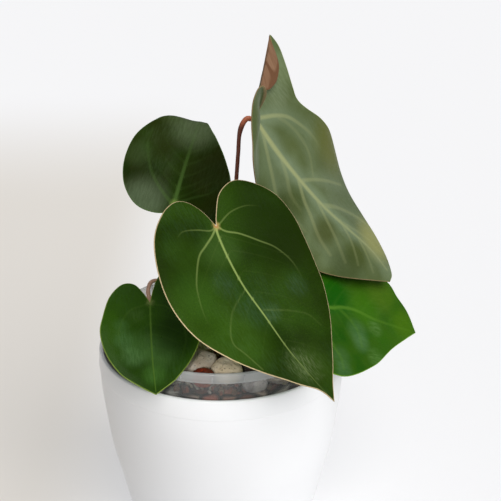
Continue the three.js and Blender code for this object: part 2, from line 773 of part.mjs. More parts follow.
/** Offsets a surface of two grids both ways along its normals and closes its rim. */
function thicken(sides, rows, columns) {
  const positions = [];
  const faces = [];
  for (const { grid, sign } of sides) {
    const start = positions.length / 3;
    for (const point of grid) positions.push(point.x, point.y, point.z);
    const at = (i, j) => start + i * (columns + 1) + j;
    for (let i = 0; i < rows; i += 1) {
      for (let j = 0; j < columns; j += 1) {
        const corners = [at(i, j), at(i, j + 1), at(i + 1, j + 1), at(i + 1, j)];
        if (sign < 0) corners.reverse();
        const [a, b, c, d] = corners;
        faces.push(a, b, c, a, c, d);
      }
    }
  }
  const open = new THREE.BufferGeometry();
  open.setAttribute('position', new THREE.Float32BufferAttribute(positions, 3));
  open.setIndex(faces);
  const surface = mergeVertices(open, 1e-3);
  const triangles = withoutSlivers(surface.index.array);
  surface.setIndex(triangles);
  surface.computeVertexNormals();

  const count = surface.attributes.position.count;
  const point = new THREE.Vector3();
  const normal = new THREE.Vector3();
  const solid = [];
  for (const offset of [BLADE_THICKNESS / 2, -BLADE_THICKNESS / 2]) {
    for (let i = 0; i < count; i += 1) {
      point.fromBufferAttribute(surface.attributes.position, i);
      normal.fromBufferAttribute(surface.attributes.normal, i);
      point.addScaledVector(normal, offset);
      solid.push(point.x, point.y, point.z);
    }
  }
  const shell = [...triangles];
  for (let i = 0; i < triangles.length; i += 3) {
    shell.push(triangles[i] + count, triangles[i + 2] + count, triangles[i + 1] + count);
  }
  for (const [a, b] of rimEdges(triangles)) {
    shell.push(b, a, a + count, b, a + count, b + count);
  }
  const geometry = new THREE.BufferGeometry();
  geometry.setAttribute('position', new THREE.Float32BufferAttribute(solid, 3));
  geometry.setIndex(shell);
  return geometry;
}

function withoutSlivers(indices) {
  const kept = [];
  for (let i = 0; i < indices.length; i += 3) {
    const [a, b, c] = [indices[i], indices[i + 1], indices[i + 2]];
    if (a !== b && b !== c && c !== a) kept.push(a, b, c);
  }
  return kept;
}

/** The directed edges that only one triangle has, which is the outline of a surface. */
function rimEdges(triangles) {
  const edges = new Map();
  for (let i = 0; i < triangles.length; i += 3) {
    for (let k = 0; k < 3; k += 1) {
      const a = triangles[i + k];
      const b = triangles[i + ((k + 1) % 3)];
      edges.set(`${a}_${b}`, [a, b]);
    }
  }
  return [...edges.values()].filter(([a, b]) => !edges.has(`${b}_${a}`));
}

for (const [name, leaf] of Object.entries(LEAVES)) {
  add(`leaf_${name}`, blade(leaf), leaf.color, 0.45);
}

// Petioles.
// Points that each petiole passes on its way up, with heights above the white rim, and
// how far back along the blade and below it the petiole comes in.
const PETIOLES = {
  front: { via: [[-2, -7, 30], [-5, -15, 62]], back: 9, under: 4, color: 0x8a5a45 },
  upper_right: {
    via: [[6, 11, 48], [8.4, 17.5, 82], [10, 19, 108], [11.5, 19, 121.5]],
    back: 6,
    under: 0.8,
    color: 0x7d4a40,
  },
  back_left: { via: [[-10, 8, 32], [-22, 12, 58]], back: 8, under: 3, color: 0x7f6a45 },
  lower_left: { via: [[-15, -2, 24], [-29, -5, 30]], back: 9, under: 4.5, color: 0xc79a86 },
  lower_right: { via: [[13, -10, 32], [27, -19, 42]], back: 8, under: 3, color: 0x9a8a55 },
};

function petiole(name) {
  const { via, back, under } = PETIOLES[name];
  const leaf = LEAVES[name];
  const { along, out } = bladeFrame(leaf.pose);
  const joint = new THREE.Vector3(...leaf.at).add(new THREE.Vector3(0, 0, RIM_Z));
  const drop = GENICULUM + BLADE_THICKNESS / 2 + GAP + 0.1;
  const end = joint.clone().addScaledVector(out, -drop).addScaledVector(along, 0.5);
  const before = joint
    .clone()
    .addScaledVector(out, -drop - under)
    .addScaledVector(along, -back);
  const [x, y] = STEM_SPOTS[name];
  const points = [
    [x, y, CROWN_TOP + GAP],
    [x * 1.05, y * 1.05, CROWN_TOP + 6],
    ...via.map(([px, py, pz]) => [px, py, pz + RIM_Z]),
    before.toArray(),
    end.toArray(),
  ];
  const radiusAt = (t) => {
    const shaft = THREE.MathUtils.lerp(PETIOLE_BASE, PETIOLE_TIP, Math.min(t * 1.3, 1));
    const swelling = THREE.MathUtils.smoothstep(t, GENICULUM_START, GENICULUM_FULL);
    return THREE.MathUtils.lerp(shaft, GENICULUM, swelling);
  };
  return rod(points, radiusAt, 20, 7);
}
for (const name of Object.keys(PETIOLES)) {
  add(`petiole_${name}`, petiole(name), PETIOLES[name].color, 0.55);
}

export default group;
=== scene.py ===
"""Looks of a potted anthurium hybrid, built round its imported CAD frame.

Blender works in metres. The tables of blades, stalks and profiles below are in
millimetres, with heights above the white rim where a table says so.
"""

from __future__ import annotations

import logging
import math
from dataclasses import dataclass, field
from enum import Enum
from typing import Any

import bmesh
import bpy
import numpy as np
from mathutils import Matrix, Vector


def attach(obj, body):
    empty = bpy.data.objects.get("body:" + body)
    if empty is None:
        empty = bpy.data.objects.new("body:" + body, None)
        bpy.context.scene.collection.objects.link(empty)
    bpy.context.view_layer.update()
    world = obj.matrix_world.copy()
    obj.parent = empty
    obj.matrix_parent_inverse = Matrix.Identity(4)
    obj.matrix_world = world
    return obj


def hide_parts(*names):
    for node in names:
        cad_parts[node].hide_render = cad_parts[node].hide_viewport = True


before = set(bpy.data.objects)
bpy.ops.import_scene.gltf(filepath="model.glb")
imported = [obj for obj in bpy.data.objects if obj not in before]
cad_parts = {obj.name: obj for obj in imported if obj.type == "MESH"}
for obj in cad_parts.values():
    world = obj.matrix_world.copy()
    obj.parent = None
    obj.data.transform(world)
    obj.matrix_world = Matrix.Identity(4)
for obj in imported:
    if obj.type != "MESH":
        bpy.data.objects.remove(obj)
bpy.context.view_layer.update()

LOG = logging.getLogger("anthurium")
MM = 0.001
RIM = 118.0  # height of the white rim above the flat base
FILL_TOP = 115.0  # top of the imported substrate
TINY = 1e-9

Point2 = tuple[float, float]
Point3 = tuple[float, float, float]
Color = tuple[float, float, float, float]
Material = bpy.types.Material
Mesh = bpy.types.Mesh
Piece = bpy.types.Object
Socket = bpy.types.NodeSocket


# Node graphs: a signal is a value that writes its arithmetic as Math nodes.


class Signal:
    """A number that flows through a node graph."""

    def __init__(self, graph: Graph, socket: Socket) -> None:
        """Wraps one output socket of a graph."""
        self.graph = graph
        self.socket = socket

    def math(self, operation: str, *terms: Any, clamp: bool = False) -> Signal:
        """Adds one Math node.

        Args:
            operation: the node's operation.
            terms: the values of its inputs, in order.
            clamp: whether the result stays from 0 to 1.

        Returns:
            The node's result.
        """
        settings = {"operation": operation, "use_clamp": clamp}
        made = self.graph.first("ShaderNodeMath", settings, dict(enumerate(terms)))
        return Signal(self.graph, made)

    def __add__(self, other: Any) -> Signal:
        """The sum of two values."""
        return self.math("ADD", self, other)

    def __radd__(self, other: Any) -> Signal:
        """The sum of two values."""
        return self.math("ADD", other, self)

    def __sub__(self, other: Any) -> Signal:
        """The difference of two values."""
        return self.math("SUBTRACT", self, other)

    def __rsub__(self, other: Any) -> Signal:
        """The difference of two values."""
        return self.math("SUBTRACT", other, self)

    def __mul__(self, other: Any) -> Signal:
        """The product of two values."""
        return self.math("MULTIPLY", self, other)

    def __rmul__(self, other: Any) -> Signal:
        """The product of two values."""
        return self.math("MULTIPLY", other, self)

    def __pow__(self, other: Any) -> Signal:
        """One value to the power of another."""
        return self.math("POWER", self, other)

    def clamped(self) -> Signal:
        """This value, held from 0 to 1."""
        return self.math("ADD", self, 0.0, clamp=True)

    def step(self, low: float, high: float) -> Signal:
        """A smooth step of this value.

        Args:
            low: where the step is 0.
            high: where it is 1; it may be less than low.

        Returns:
            A value from 0 to 1.
        """
        settings = {"interpolation_type": "SMOOTHSTEP"}
        inputs = {"Value": self, "From Min": low, "From Max": high}
        return Signal(self.graph, self.graph.first("ShaderNodeMapRange", settings, inputs))


class Cell(Enum):
    """What a pattern of irregular cells measures."""

    MIDDLE = "F1"
    WALL = "DISTANCE_TO_EDGE"


class Graph:
    """A node tree that one method fills."""

    def __init__(self, tree: bpy.types.NodeTree) -> None:
        """Takes the tree that this graph fills."""
        self.tree = tree

    def node(
        self,
        kind: str,
        settings: dict[str, Any] | None = None,
        inputs: dict[Any, Any] | None = None,
    ) -> bpy.types.Node:
        """Adds any node.

        Args:
            kind: the node's type.
            settings: its properties, set before its sockets; "stops" fills a ramp.
            inputs: values, signals or sockets by the name or index of an input.

        Returns:
            The new node.
        """
        made = self.tree.nodes.new(kind)
        for name, value in (settings or {}).items():
            if name == "stops":
                self.fill_ramp(made.color_ramp, value)
            else:
                setattr(made, name, value)
        for key, value in (inputs or {}).items():
            self.plug(made.inputs[key], value)
        return made

    def first(
        self,
        kind: str,
        settings: dict[str, Any] | None = None,
        inputs: dict[Any, Any] | None = None,
    ) -> Socket:
        """The first output of a new node, which is made as by node()."""
        return self.node(kind, settings, inputs).outputs[0]

    def plug(self, socket: Socket, value: Any) -> None:
        """Feeds one input of a node.

        Args:
            socket: the input.
            value: a signal, another socket or a constant.
        """
        if isinstance(value, Signal):
            self.tree.links.new(value.socket, socket)
        elif isinstance(value, Socket):
            self.tree.links.new(value, socket)
        else:
            socket.default_value = value

    @staticmethod
    def fill_ramp(ramp: bpy.types.ColorRamp, stops: list[tuple[float, Color]]) -> None:
        """Sets a colour ramp's stops.

        Args:
            ramp: the ramp.
            stops: place and colour of each stop, in rising order.
        """
        while len(ramp.elements) < len(stops):
            ramp.elements.new(1.0)
        for element, (position, color) in zip(ramp.elements, stops):
            element.position = position
            element.color = color

    def noise(
        self, vector: Any, scale: float, detail: float = 2.0, rough: float = 0.5
    ) -> Signal:
        """A fractal noise.

        Args:
            vector: the coordinates it reads.
            scale: features per unit of those coordinates.
            detail: octaves of finer noise.
            rough: how strong the finer octaves are.

        Returns:
            A value round 0.5.
        """
        inputs = {"Vector": vector, "Scale": scale, "Detail": detail, "Roughness": rough}
        return Signal(self, self.first("ShaderNodeTexNoise", None, inputs))

    def cells(self, vector: Any, scale: float, measure: Cell = Cell.MIDDLE) -> Signal:
        """A pattern of irregular cells.

        Args:
            vector: the coordinates it reads.
            scale: cells per unit of those coordinates.
            measure: whether it gives the distance to a cell's middle or to its wall.

        Returns:
            The distance.
        """
        settings = {"feature": measure.value}
        inputs = {"Vector": vector, "Scale": scale}
        return Signal(self, self.first("ShaderNodeTexVoronoi", settings, inputs))

    def cell_shades(self, vector: Any, scale: float) -> Signal:
        """A random number for each cell of the pattern that cells() gives."""
        made = self.node("ShaderNodeTexVoronoi", None, {"Vector": vector, "Scale": scale})
        return Signal(self, self.first("ShaderNodeSeparateColor", None, {0: made.outputs[1]}))


class ShaderGraph(Graph):
    """The node graph of one material."""

    def __init__(self, name: str) -> None:
        """Makes the material that this graph fills.

        Args:
            name: the material's name.
        """
        self.material = bpy.data.materials.new(name)
        self.material.use_nodes = True
        super().__init__(self.material.node_tree)
        self.tree.nodes.clear()

    def place(self, scale: Point3 = (1, 1, 1)) -> Socket:
        """Object coordinates, in metres, stretched."""
        return self.mapped(self.node("ShaderNodeTexCoord").outputs["Object"], scale)

    def mapped(self, source: Any, scale: Point3, turn: Point3 = (0, 0, 0)) -> Socket:
        """Stretches and turns coordinates."""
        inputs = {"Vector": source, "Scale": scale, "Rotation": turn}
        return self.first("ShaderNodeMapping", None, inputs)

    def flat(self) -> Socket:
        """The piece's own flat coordinates, in decimetres."""
        return self.first("ShaderNodeUVMap", {"uv_map": "flat"})

    def axis(self, vector: Any, index: int) -> Signal:
        """One component of a vector."""
        parts = self.node("ShaderNodeSeparateXYZ", None, {0: vector})
        return Signal(self, parts.outputs[index])

    def attribute(self, name: str) -> Signal:
        """A number stored on the piece's vertices."""
        made = self.node("ShaderNodeAttribute", {"attribute_name": name})
        return Signal(self, made.outputs["Fac"])

    def mix(self, factor: Any, low: Any, high: Any, blend: str = "MIX") -> Socket:
        """Blends two colours.

        Args:
            factor: 0 for the first colour, 1 for the second.
            low: the first colour.
            high: the second colour.
            blend: how they meet, such as MIX or MULTIPLY.

        Returns:
            The colour's socket.
        """
        settings = {"data_type": "RGBA", "blend_type": blend}
        return self.node("ShaderNodeMix", settings, {0: factor, 6: low, 7: high}).outputs[2]

    def tints(self, factor: Any, low: str, high: str) -> Socket:
        """Blends two tints, given by their codes."""
        return self.mix(factor, tint(low), tint(high))

    def over(self, color: Any, mask: Any, code: str) -> Socket:
        """Lays a tint over a colour where a mask is 1."""
        return self.mix(mask, color, tint(code))

    def ramp(self, factor: Any, stops: list[tuple[float, str]]) -> Socket:
        """A colour that follows a value through tints, given by their codes."""
        colors = [(at, tint(code)) for at, code in stops]
        return self.first("ShaderNodeValToRGB", {"stops": colors}, {0: factor})

    def bump(self, height: Any, distance: float, strength: float = 1.0) -> Socket:
        """A normal from a height that counts in units of distance, in metres."""
        inputs = {"Height": height, "Distance": distance, "Strength": strength}
        return self.first("ShaderNodeBump", None, inputs)

    def finish(
        self, color: Any, rough: Any, normal: Any = None, more: dict[str, Any] | None = None
    ) -> Material:
        """Ends the graph in one principled surface.

        Args:
            color: its base colour.
            rough: its roughness.
            normal: its normal, where it has a relief.
            more: its other inputs by name.

        Returns:
            The material.
        """
        inputs = {"Base Color": color, "Roughness": rough, **(more or {})}
        if normal is not None:
            inputs["Normal"] = normal
        surface = self.first("ShaderNodeBsdfPrincipled", None, inputs)
        self.node("ShaderNodeOutputMaterial", None, {0: surface})
        return self.material


class GeometryGraph(Graph):
    """A geometry node tree with named inputs, which makes finished pieces."""

    def __init__(self, name: str, inputs: dict[str, tuple[str, Any]]) -> None:
        """Makes the tree.

        Args:
            name: the tree's name.
            inputs: kind and default value of each input by its name.
        """
        tree = bpy.data.node_groups.new(name, "GeometryNodeTree")
        super().__init__(tree)
        tree.interface.new_socket("Geometry", in_out="INPUT", socket_type="NodeSocketGeometry")
        for label, (kind, default) in inputs.items():
            socket = tree.interface.new_socket(
                label, in_out="INPUT", socket_type="NodeSocket" + kind
            )
            socket.default_value = default
        tree.interface.new_socket("Geometry", in_out="OUTPUT", socket_type="NodeSocketGeometry")
        self.entry = tree.nodes.new("NodeGroupInput")
        self.exit = tree.nodes.new("NodeGroupOutput")

    def given(self, label: str) -> Signal:
        """One of the tree's own inputs."""
        return Signal(self, self.entry.outputs[label])

    def shape(self, kind: str, inputs: dict[Any, Any] | None = None) -> Socket:
        """The first output of a new geometry node, named without its prefix."""
        return self.first("GeometryNode" + kind, None, inputs)

    def random(self, low: Point3, high: Point3, seed: int) -> Socket:
        """A random vector for each element, from a fixed seed."""
        inputs = {0: low, 1: high, "Seed": seed}
        return self.first("FunctionNodeRandomValue", {"data_type": "FLOAT_VECTOR"}, inputs)

    def moved(self, geometry: Any, amount: Any) -> Socket:
        """Moves a surface along its normal.

        Args:
            geometry: the surface.
            amount: how far, in metres.

        Returns:
            The moved surface.
        """
        inputs = {0: self.shape("InputNormal"), "Scale": amount}
        offset = self.first("ShaderNodeVectorMath", {"operation": "SCALE"}, inputs)
        return self.shape("SetPosition", {0: geometry, "Offset": offset})

    def close(self, geometry: Any, material: Any) -> None:
        """Ends the tree: makes instances real, shades smooth and sets the material.

        Args:
            geometry: what the tree has made.
            material: the finish, or the input that gives it.
        """
        real = self.shape("RealizeInstances", {0: geometry})
        smooth = self.shape("SetShadeSmooth", {0: real})
        dressed = self.shape("SetMaterial", {0: smooth, "Material": material})
        self.plug(self.exit.inputs[0], dressed)

    def grow(self, host: Mesh, name: str, values: dict[str, Any]) -> Piece:
        """Runs the tree on a mesh and keeps what it makes as a plain mesh.

        Args:
            host: the mesh that the tree starts from.
            name: the new piece's name.
            values: values of the tree's inputs by name.

        Returns:
            The new piece.
        """
        source = bpy.data.objects.new(name + "_host", host)
        bpy.context.scene.collection.objects.link(source)
        modifier = source.modifiers.new("shape", "NODES")
        modifier.node_group = self.tree
        for item in self.tree.interface.items_tree:
            if item.in_out == "INPUT" and item.name in values:
                modifier[item.identifier] = values[item.name]
        depsgraph = bpy.context.evaluated_depsgraph_get()
        mesh = bpy.data.meshes.new_from_object(
            source.evaluated_get(depsgraph), preserve_all_data_layers=True, depsgraph=depsgraph
        )
        bpy.data.objects.remove(source)
        return show(name, mesh)


# Small helpers.


def tint(code: str) -> Color:
    """The colour of an sRGB hex code.

    Args:
        code: such as "#2a4413".

    Returns:
        Its linear colour, opaque.
    """
    parts = [int(code[i : i + 2], 16) / 255 for i in (1, 3, 5)]
    linear = [c / 12.92 if c <= 0.04045 else ((c + 0.055) / 1.055) ** 2.4 for c in parts]
    return (linear[0], linear[1], linear[2], 1.0)


def show(name: str, mesh: Mesh) -> Piece:
    """Links a mesh to the scene as an object at the origin.

    Args:
        name: the name of both.
        mesh: the mesh.

    Returns:
        The object.
    """
    mesh.name = name
    made = bpy.data.objects.new(name, mesh)
    bpy.context.scene.collection.objects.link(made)
    return made


def solid(name: str, spots: np.ndarray, faces: list[Any], material: Material) -> Piece:
    """Makes a smooth piece.

    Args:
        name: the piece's name.
        spots: its points in millimetres.
        faces: point numbers of each face.
        material: its finish.

    Returns:
        The piece.
    """
    mesh = bpy.data.meshes.new(name)
    mesh.from_pydata((spots * MM).tolist(), [], faces)
    mesh.shade_smooth()
    mesh.materials.append(material)
    return show(name, mesh)


def circle(count: int, radius: float, height: float = 0.0) -> list[Point3]:
    """Points at equal steps round the pot's axis."""
    angles = (2 * math.pi * i / count for i in range(count))
    return [(radius * math.cos(a), radius * math.sin(a), height) for a in angles]


def quads_of(index: np.ndarray) -> np.ndarray:
    """Corners of the quads between neighbouring rows and columns of point numbers."""
    corners = [index[:-1, :-1], index[:-1, 1:], index[1:, 1:], index[1:, :-1]]
    return np.stack(corners, axis=-1).reshape(-1, 4)


def settle(piece: Piece, slot: str, *nodes: str) -> None:
    """Ties a finished piece to the frame.

    Args:
        piece: the piece.
        slot: the record's material slot; not used.
        nodes: the CAD nodes that it stands for.
    """
    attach(piece, "root")
    if nodes:
        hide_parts(*nodes)
    LOG.info("%s: %d faces", piece.name, len(piece.data.polygons))


def smoothstep(value: np.ndarray, low: float, high: float) -> np.ndarray:
    """A smooth step from 0 at low to 1 at high."""
    x = np.clip((value - low) / (high - low), 0.0, 1.0)
    return x * x * (3 - 2 * x)


def spline(points: Any, steps: int) -> np.ndarray:
    """A smooth curve through points.

    Args:
        points: the rows that the curve passes, with any number of columns.
        steps: samples between two rows.

    Returns:
        The samples as rows.
    """
    rows = np.asarray(points, float)
    rows = np.vstack([2 * rows[0] - rows[1], rows, 2 * rows[-1] - rows[-2]])
    t = np.linspace(0, 1, steps, endpoint=False)[:, None]
    parts = []
    for a, b, c, d in zip(rows, rows[1:], rows[2:], rows[3:]):
        start, end = (c - a) / 2, (d - b) / 2
        second = 3 * (c - b) - 2 * start - end
        third = 2 * (b - c) + start + end
        parts.append(b + start * t + second * t**2 + third * t**3)
    return np.vstack([*parts, rows[-2]])


def even(curve: np.ndarray, count: int, width: int) -> np.ndarray:
    """Resamples a curve at equal steps of its length in its first columns.

    Args:
        curve: the curve's rows.
        count: steps of the result.
        width: how many columns count as its length.

    Returns:
        The resampled rows.
    """
    legs = np.linalg.norm(np.diff(curve[:, :width], axis=0), axis=1)
    length = np.concatenate([[0], np.cumsum(legs)])
    at = np.linspace(0, length[-1], count + 1)
    return np.stack([np.interp(at, length, column) for column in curve.T], axis=-1)


def nearest(points: np.ndarray, line: np.ndarray) -> tuple[np.ndarray, np.ndarray]:
    """Distance from points to a polyline.

    Args:
        points: flat points as rows.
        line: the polyline's points as rows.

    Returns:
        The distances, and how far along the line each nearest spot is, from 0 to 1.
    """
    best = np.full(len(points), np.inf)
    where = np.zeros(len(points))
    count = len(line) - 1
    for i in range(count):
        leg = line[i + 1] - line[i]
        size = max(float(leg @ leg), TINY)
        t = np.clip((points - line[i]) @ leg / size, 0, 1)
        apart = np.linalg.norm(points - line[i] - t[:, None] * leg, axis=1)
        closer = apart < best
        best = np.where(closer, apart, best)
        where = np.where(closer, (i + t) / count, where)
    return best, where


# Blades.


class Half(Enum):
    """The two halves of a blade, with the sign of their flat coordinate across it."""

    LEFT = 1
    RIGHT = -1


@dataclass(frozen=True)
class Bend:
    """Rolls the part of a blade past a line, keeping its arc length."""

    start: Point2
    angle: float
    radius: float
    limit: float
    up: int = 1
    fade: tuple[float, float, float] | None = None  # from v, to v, and the limit there

    LEAST_RATE = 1e-6  # keeps a straight part from dividing by nothing

    def apply(self, p: np.ndarray) -> np.ndarray:
        """Bends flat points.

        Args:
            p: flat points as rows of three.

        Returns:
            The bent points.
        """
        a = math.radians(self.angle)
        direction = np.array([math.cos(a), math.sin(a)])
        past = (p[:, :2] - self.start) @ direction
        turn = np.full(len(p), math.radians(self.limit))
        span = self.radius * math.radians(self.limit)
        if self.fade:
            low, high, last = self.fade
            turn += (math.radians(last) - turn) * smoothstep(p[:, 1], low, high)
        rate = turn / span
        rate = np.where(np.abs(rate) < self.LEAST_RATE, self.LEAST_RATE, rate)
        phi = rate * np.clip(past, 0, span)
        rest = np.maximum(past - span, 0)
        height = p[:, 2] * self.up
        moved = np.sin(phi) / rate - height * np.sin(phi) + rest * np.cos(phi) - past
        lifted = (1 - np.cos(phi)) / rate + height * np.cos(phi) + rest * np.sin(phi)
        bent = p.copy()
        on = past > 0
        bent[on, :2] += moved[on, None] * direction
        bent[on, 2] = self.up * lifted[on]
        return bent


@dataclass(frozen=True)
class Vein:
    """One vein drawn on the flat blade, with its width and tone at both ends."""

    course: tuple[Point2, ...]
    width: Point2
    tone: Point2


@dataclass(frozen=True)
class Spot:
    """One soft patch of another colour, placed in flat coordinates."""

    at: Point2
    radius: float
    color: str
    strength: float = 0.5
    streaks: float = 0.7  # how far fine streaks break it up


@dataclass(frozen=True)
class LeafFinish:
    """Colours, painted sheen and gloss of one blade."""

    name: str
    dark: str
    light: str
    patch: str
    # pale grey-green of the painted sheen, a reflection on the gloss; the halo round the veins
    # takes it too
    sheen_and_halo: str
    vein: str
    margin: str
    junction: str
    under: str
    under_deep: str
    patches: float = 0.3
    # how strongly the streaks of painted sheen show
    painted_sheen: float = 0.3
    roughness: float = 0.36
    gloss: float = 0.05
    speckle: float = 0.3  # how strongly the fine grain of the blade shows
    sheen: float = 0.0
    halo: float = 0.0  # how far the pale tone round each vein shows
    right_margin: str | None = None  # the margin's colour on the right side where it differs
    under_vein: float = 0.6  # how far the veins show on the underside
    sinus: str | None = None  # a second colour right at the petiole
    spots: tuple[Spot, ...] = ()
    scuff: tuple[float, float, float] | None = None  # across, along and radius, in dm

    GRAIN_DARK = (0.62, 0.66, 0.6, 1)  # what the fine grain multiplies the colour by
    GRAIN_PALE = (1.5, 1.42, 1.5, 1)

    def upper(self, g: ShaderGraph, flat: Any, vein: Signal) -> Any:
        """The upper side's colour, with painted sheen.

        Args:
            g: the material's graph.
            flat: the blade's flat coordinates.
            vein: how strongly a vein shows.

        Returns:
            The colour's socket.
        """
        broad = g.noise(g.place(), 24, 2)
        mottle = g.noise(flat, 26, 5, 0.6)
        fine = g.noise(flat, 150, 3, 0.7)
        grain = g.noise(flat, 95, 2, 0.8)
        color = g.tints(broad.step(0.36, 0.66), self.dark, self.light)
        color = g.over(color, mottle.step(0.45, 0.8) * 0.3, self.light)
        dark, pale = fine.step(0.46, 0.66) * self.speckle, grain.step(0.5, 0.68) * self.speckle
        color = g.mix(dark, color, self.GRAIN_DARK, "MULTIPLY")
        color = g.mix(pale, color, self.GRAIN_PALE, "MULTIPLY")
        near = (g.attribute("valley") * (1.35 - mottle * 0.7)).clamped()
        # Patches of the leaf's own olive tone away from the veins, placed by noise.
        intervein_patches = g.noise(flat, 7, 2).step(0.3, 0.6) * (1 - near)
        color = g.over(color, intervein_patches * self.patches, self.patch)
        color = g.over(color, near * self.halo, self.sheen_and_halo)
        # Painted sheen: pale grey-green streaks, gathered in clouds, stand in for reflections on
        # the gloss.
        slanted = g.mapped(flat, (2.6, 0.5, 1.0), (0, 0, 0.9))
        streaks = g.noise(slanted, 34, 3, 0.6).step(0.36, 0.66)
        cloud = g.noise(g.place((1, 1, 1.4)), 32, 1)
        sheen_and_halo = streaks * cloud.step(0.42, 0.68)
        color = g.over(color, sheen_and_halo * self.painted_sheen, self.sheen_and_halo)
        # Each spot is a soft patch; the pale grey-green ones are painted sheen.
        for spot in self.spots:
            color = self.spotted(g, color, flat, streaks, spot)
        return g.over(color, vein, self.vein)

    @staticmethod
    def spotted(g: ShaderGraph, color: Any, flat: Any, streaks: Signal, spot: Spot) -> Any:
        """Adds one soft patch, broken up by streaks.

        Args:
            g: the material's graph.
            color: the colour so far.
            flat: the blade's flat coordinates.
            streaks: the streaks that break it up.
            spot: the patch.

        Returns:
            The colour's socket.
        """
        inputs = {0: flat, 1: (spot.at[0] / 100, spot.at[1] / 100, 0)}
        offset = g.first("ShaderNodeVectorMath", {"operation": "SUBTRACT"}, inputs)
        length = g.node("ShaderNodeVectorMath", {"operation": "LENGTH"}, {0: offset})
        apart = Signal(g, length.outputs["Value"])
        mask = apart.step(spot.radius / 100, spot.radius / 400)
        broken = streaks * spot.streaks + (1 - spot.streaks)
        return g.over(color, mask * broken * spot.strength, spot.color)

    def lower(self, g: ShaderGraph, flat: Any, vein: Signal) -> Any:
        """The underside's colour.

        Args:
            g: the material's graph.
            flat: the blade's flat coordinates.
            vein: how strongly a vein shows.

        Returns:
            The colour's socket.
        """
        clouds = g.noise(flat, 11, 4, 0.6)
        fibres = g.noise(g.mapped(flat, (3.0, 0.4, 1.0), (0, 0, 0.5)), 26, 3, 0.6)
        color = g.tints(clouds.step(0.35, 0.7) * 0.6, self.under, self.under_deep)
        color = g.over(color, fibres.step(0.45, 0.68) * 0.5, self.under_deep)
        return g.over(color, vein * self.under_vein, self.vein)

    def build(self) -> Material:
        """Makes the blade's material.

        Returns:
            The material.
        """
        g = ShaderGraph(self.name)
        flat = g.flat()
        tone = g.attribute("vein_tone")
        vein = (g.attribute("vein").step(0.2, 0.85) * tone).clamped()
        margin = g.attribute("margin")
        side = g.attribute("upper")
        u, v = g.axis(flat, 0), g.axis(flat, 1)
        color = self.upper(g, flat, vein)
        if self.scuff:
            color = self.scuffed(g, color, flat, u, v)
        wobble = g.noise(flat, 60, 2) * 0.03
        apart = (u * u + v * v) ** 0.5
        ragged = apart + wobble
        color = g.over(color, ragged.step(0.05, 0.016), self.junction)
        color = g.over(color, ragged.step(0.036, 0.016) * 0.6, self.sinus or self.junction)
        edge = (margin + g.noise(flat, 45, 1) * 0.3).step(0.72, 0.32)
        rim = g.tints(u.step(0.02, -0.02), self.margin, self.right_margin or self.margin)
        color = g.mix(edge * 0.9, color, rim)
        below = self.lower(g, flat, vein)
        below = g.over(below, margin.step(0.6, 0.25), self.under_deep)
        color = g.mix(side.step(0.4, 0.6), below, color)
        rough = self.roughness + g.noise(flat, 30, 3) * 0.14 - 0.07 + (1 - side) * 0.22
        cells = g.cells(flat, 95, Cell.WALL).step(0.0, 0.25)
        relief = cells * 0.35 + g.noise(flat, 220, 3, 0.6) * 0.5 + g.noise(flat, 40, 3) * 1.2
        gloss = {
            "Specular IOR Level": self.gloss,
            "Sheen Weight": self.sheen,
            "Sheen Roughness": 0.45,
            "Sheen Tint": tint("#dfe8dc"),
        }
        return g.finish(color, rough, g.bump(relief, 0.00012, 0.8), gloss)

    def scuffed(self, g: ShaderGraph, color: Any, flat: Any, u: Signal, v: Signal) -> Any:
        """Adds the fine dry scratches round one spot of the blade.

        Args:
            g: the material's graph.
            color: the colour so far.
            flat: the blade's flat coordinates.
            u: the coordinate across the blade.
            v: the coordinate along it.

        Returns:
            The colour's socket.
        """
        across, along, radius = self.scuff
        apart = ((u - across) ** 2.0 + (v - along) ** 2.0) ** 0.5
        ragged = apart + g.noise(flat, 40, 2) * 0.08
        worn = ragged.step(radius + 0.05, radius * 0.4)
        for angle in (0.25, 1.5):
            fine = g.noise(g.mapped(flat, (1.0, 0.07, 1.0), (0, 0, angle)), 330, 1, 0.4)
            color = g.over(color, fine.step(0.5, 0.64) * worn * 0.27, "#8d9b70")
        return color


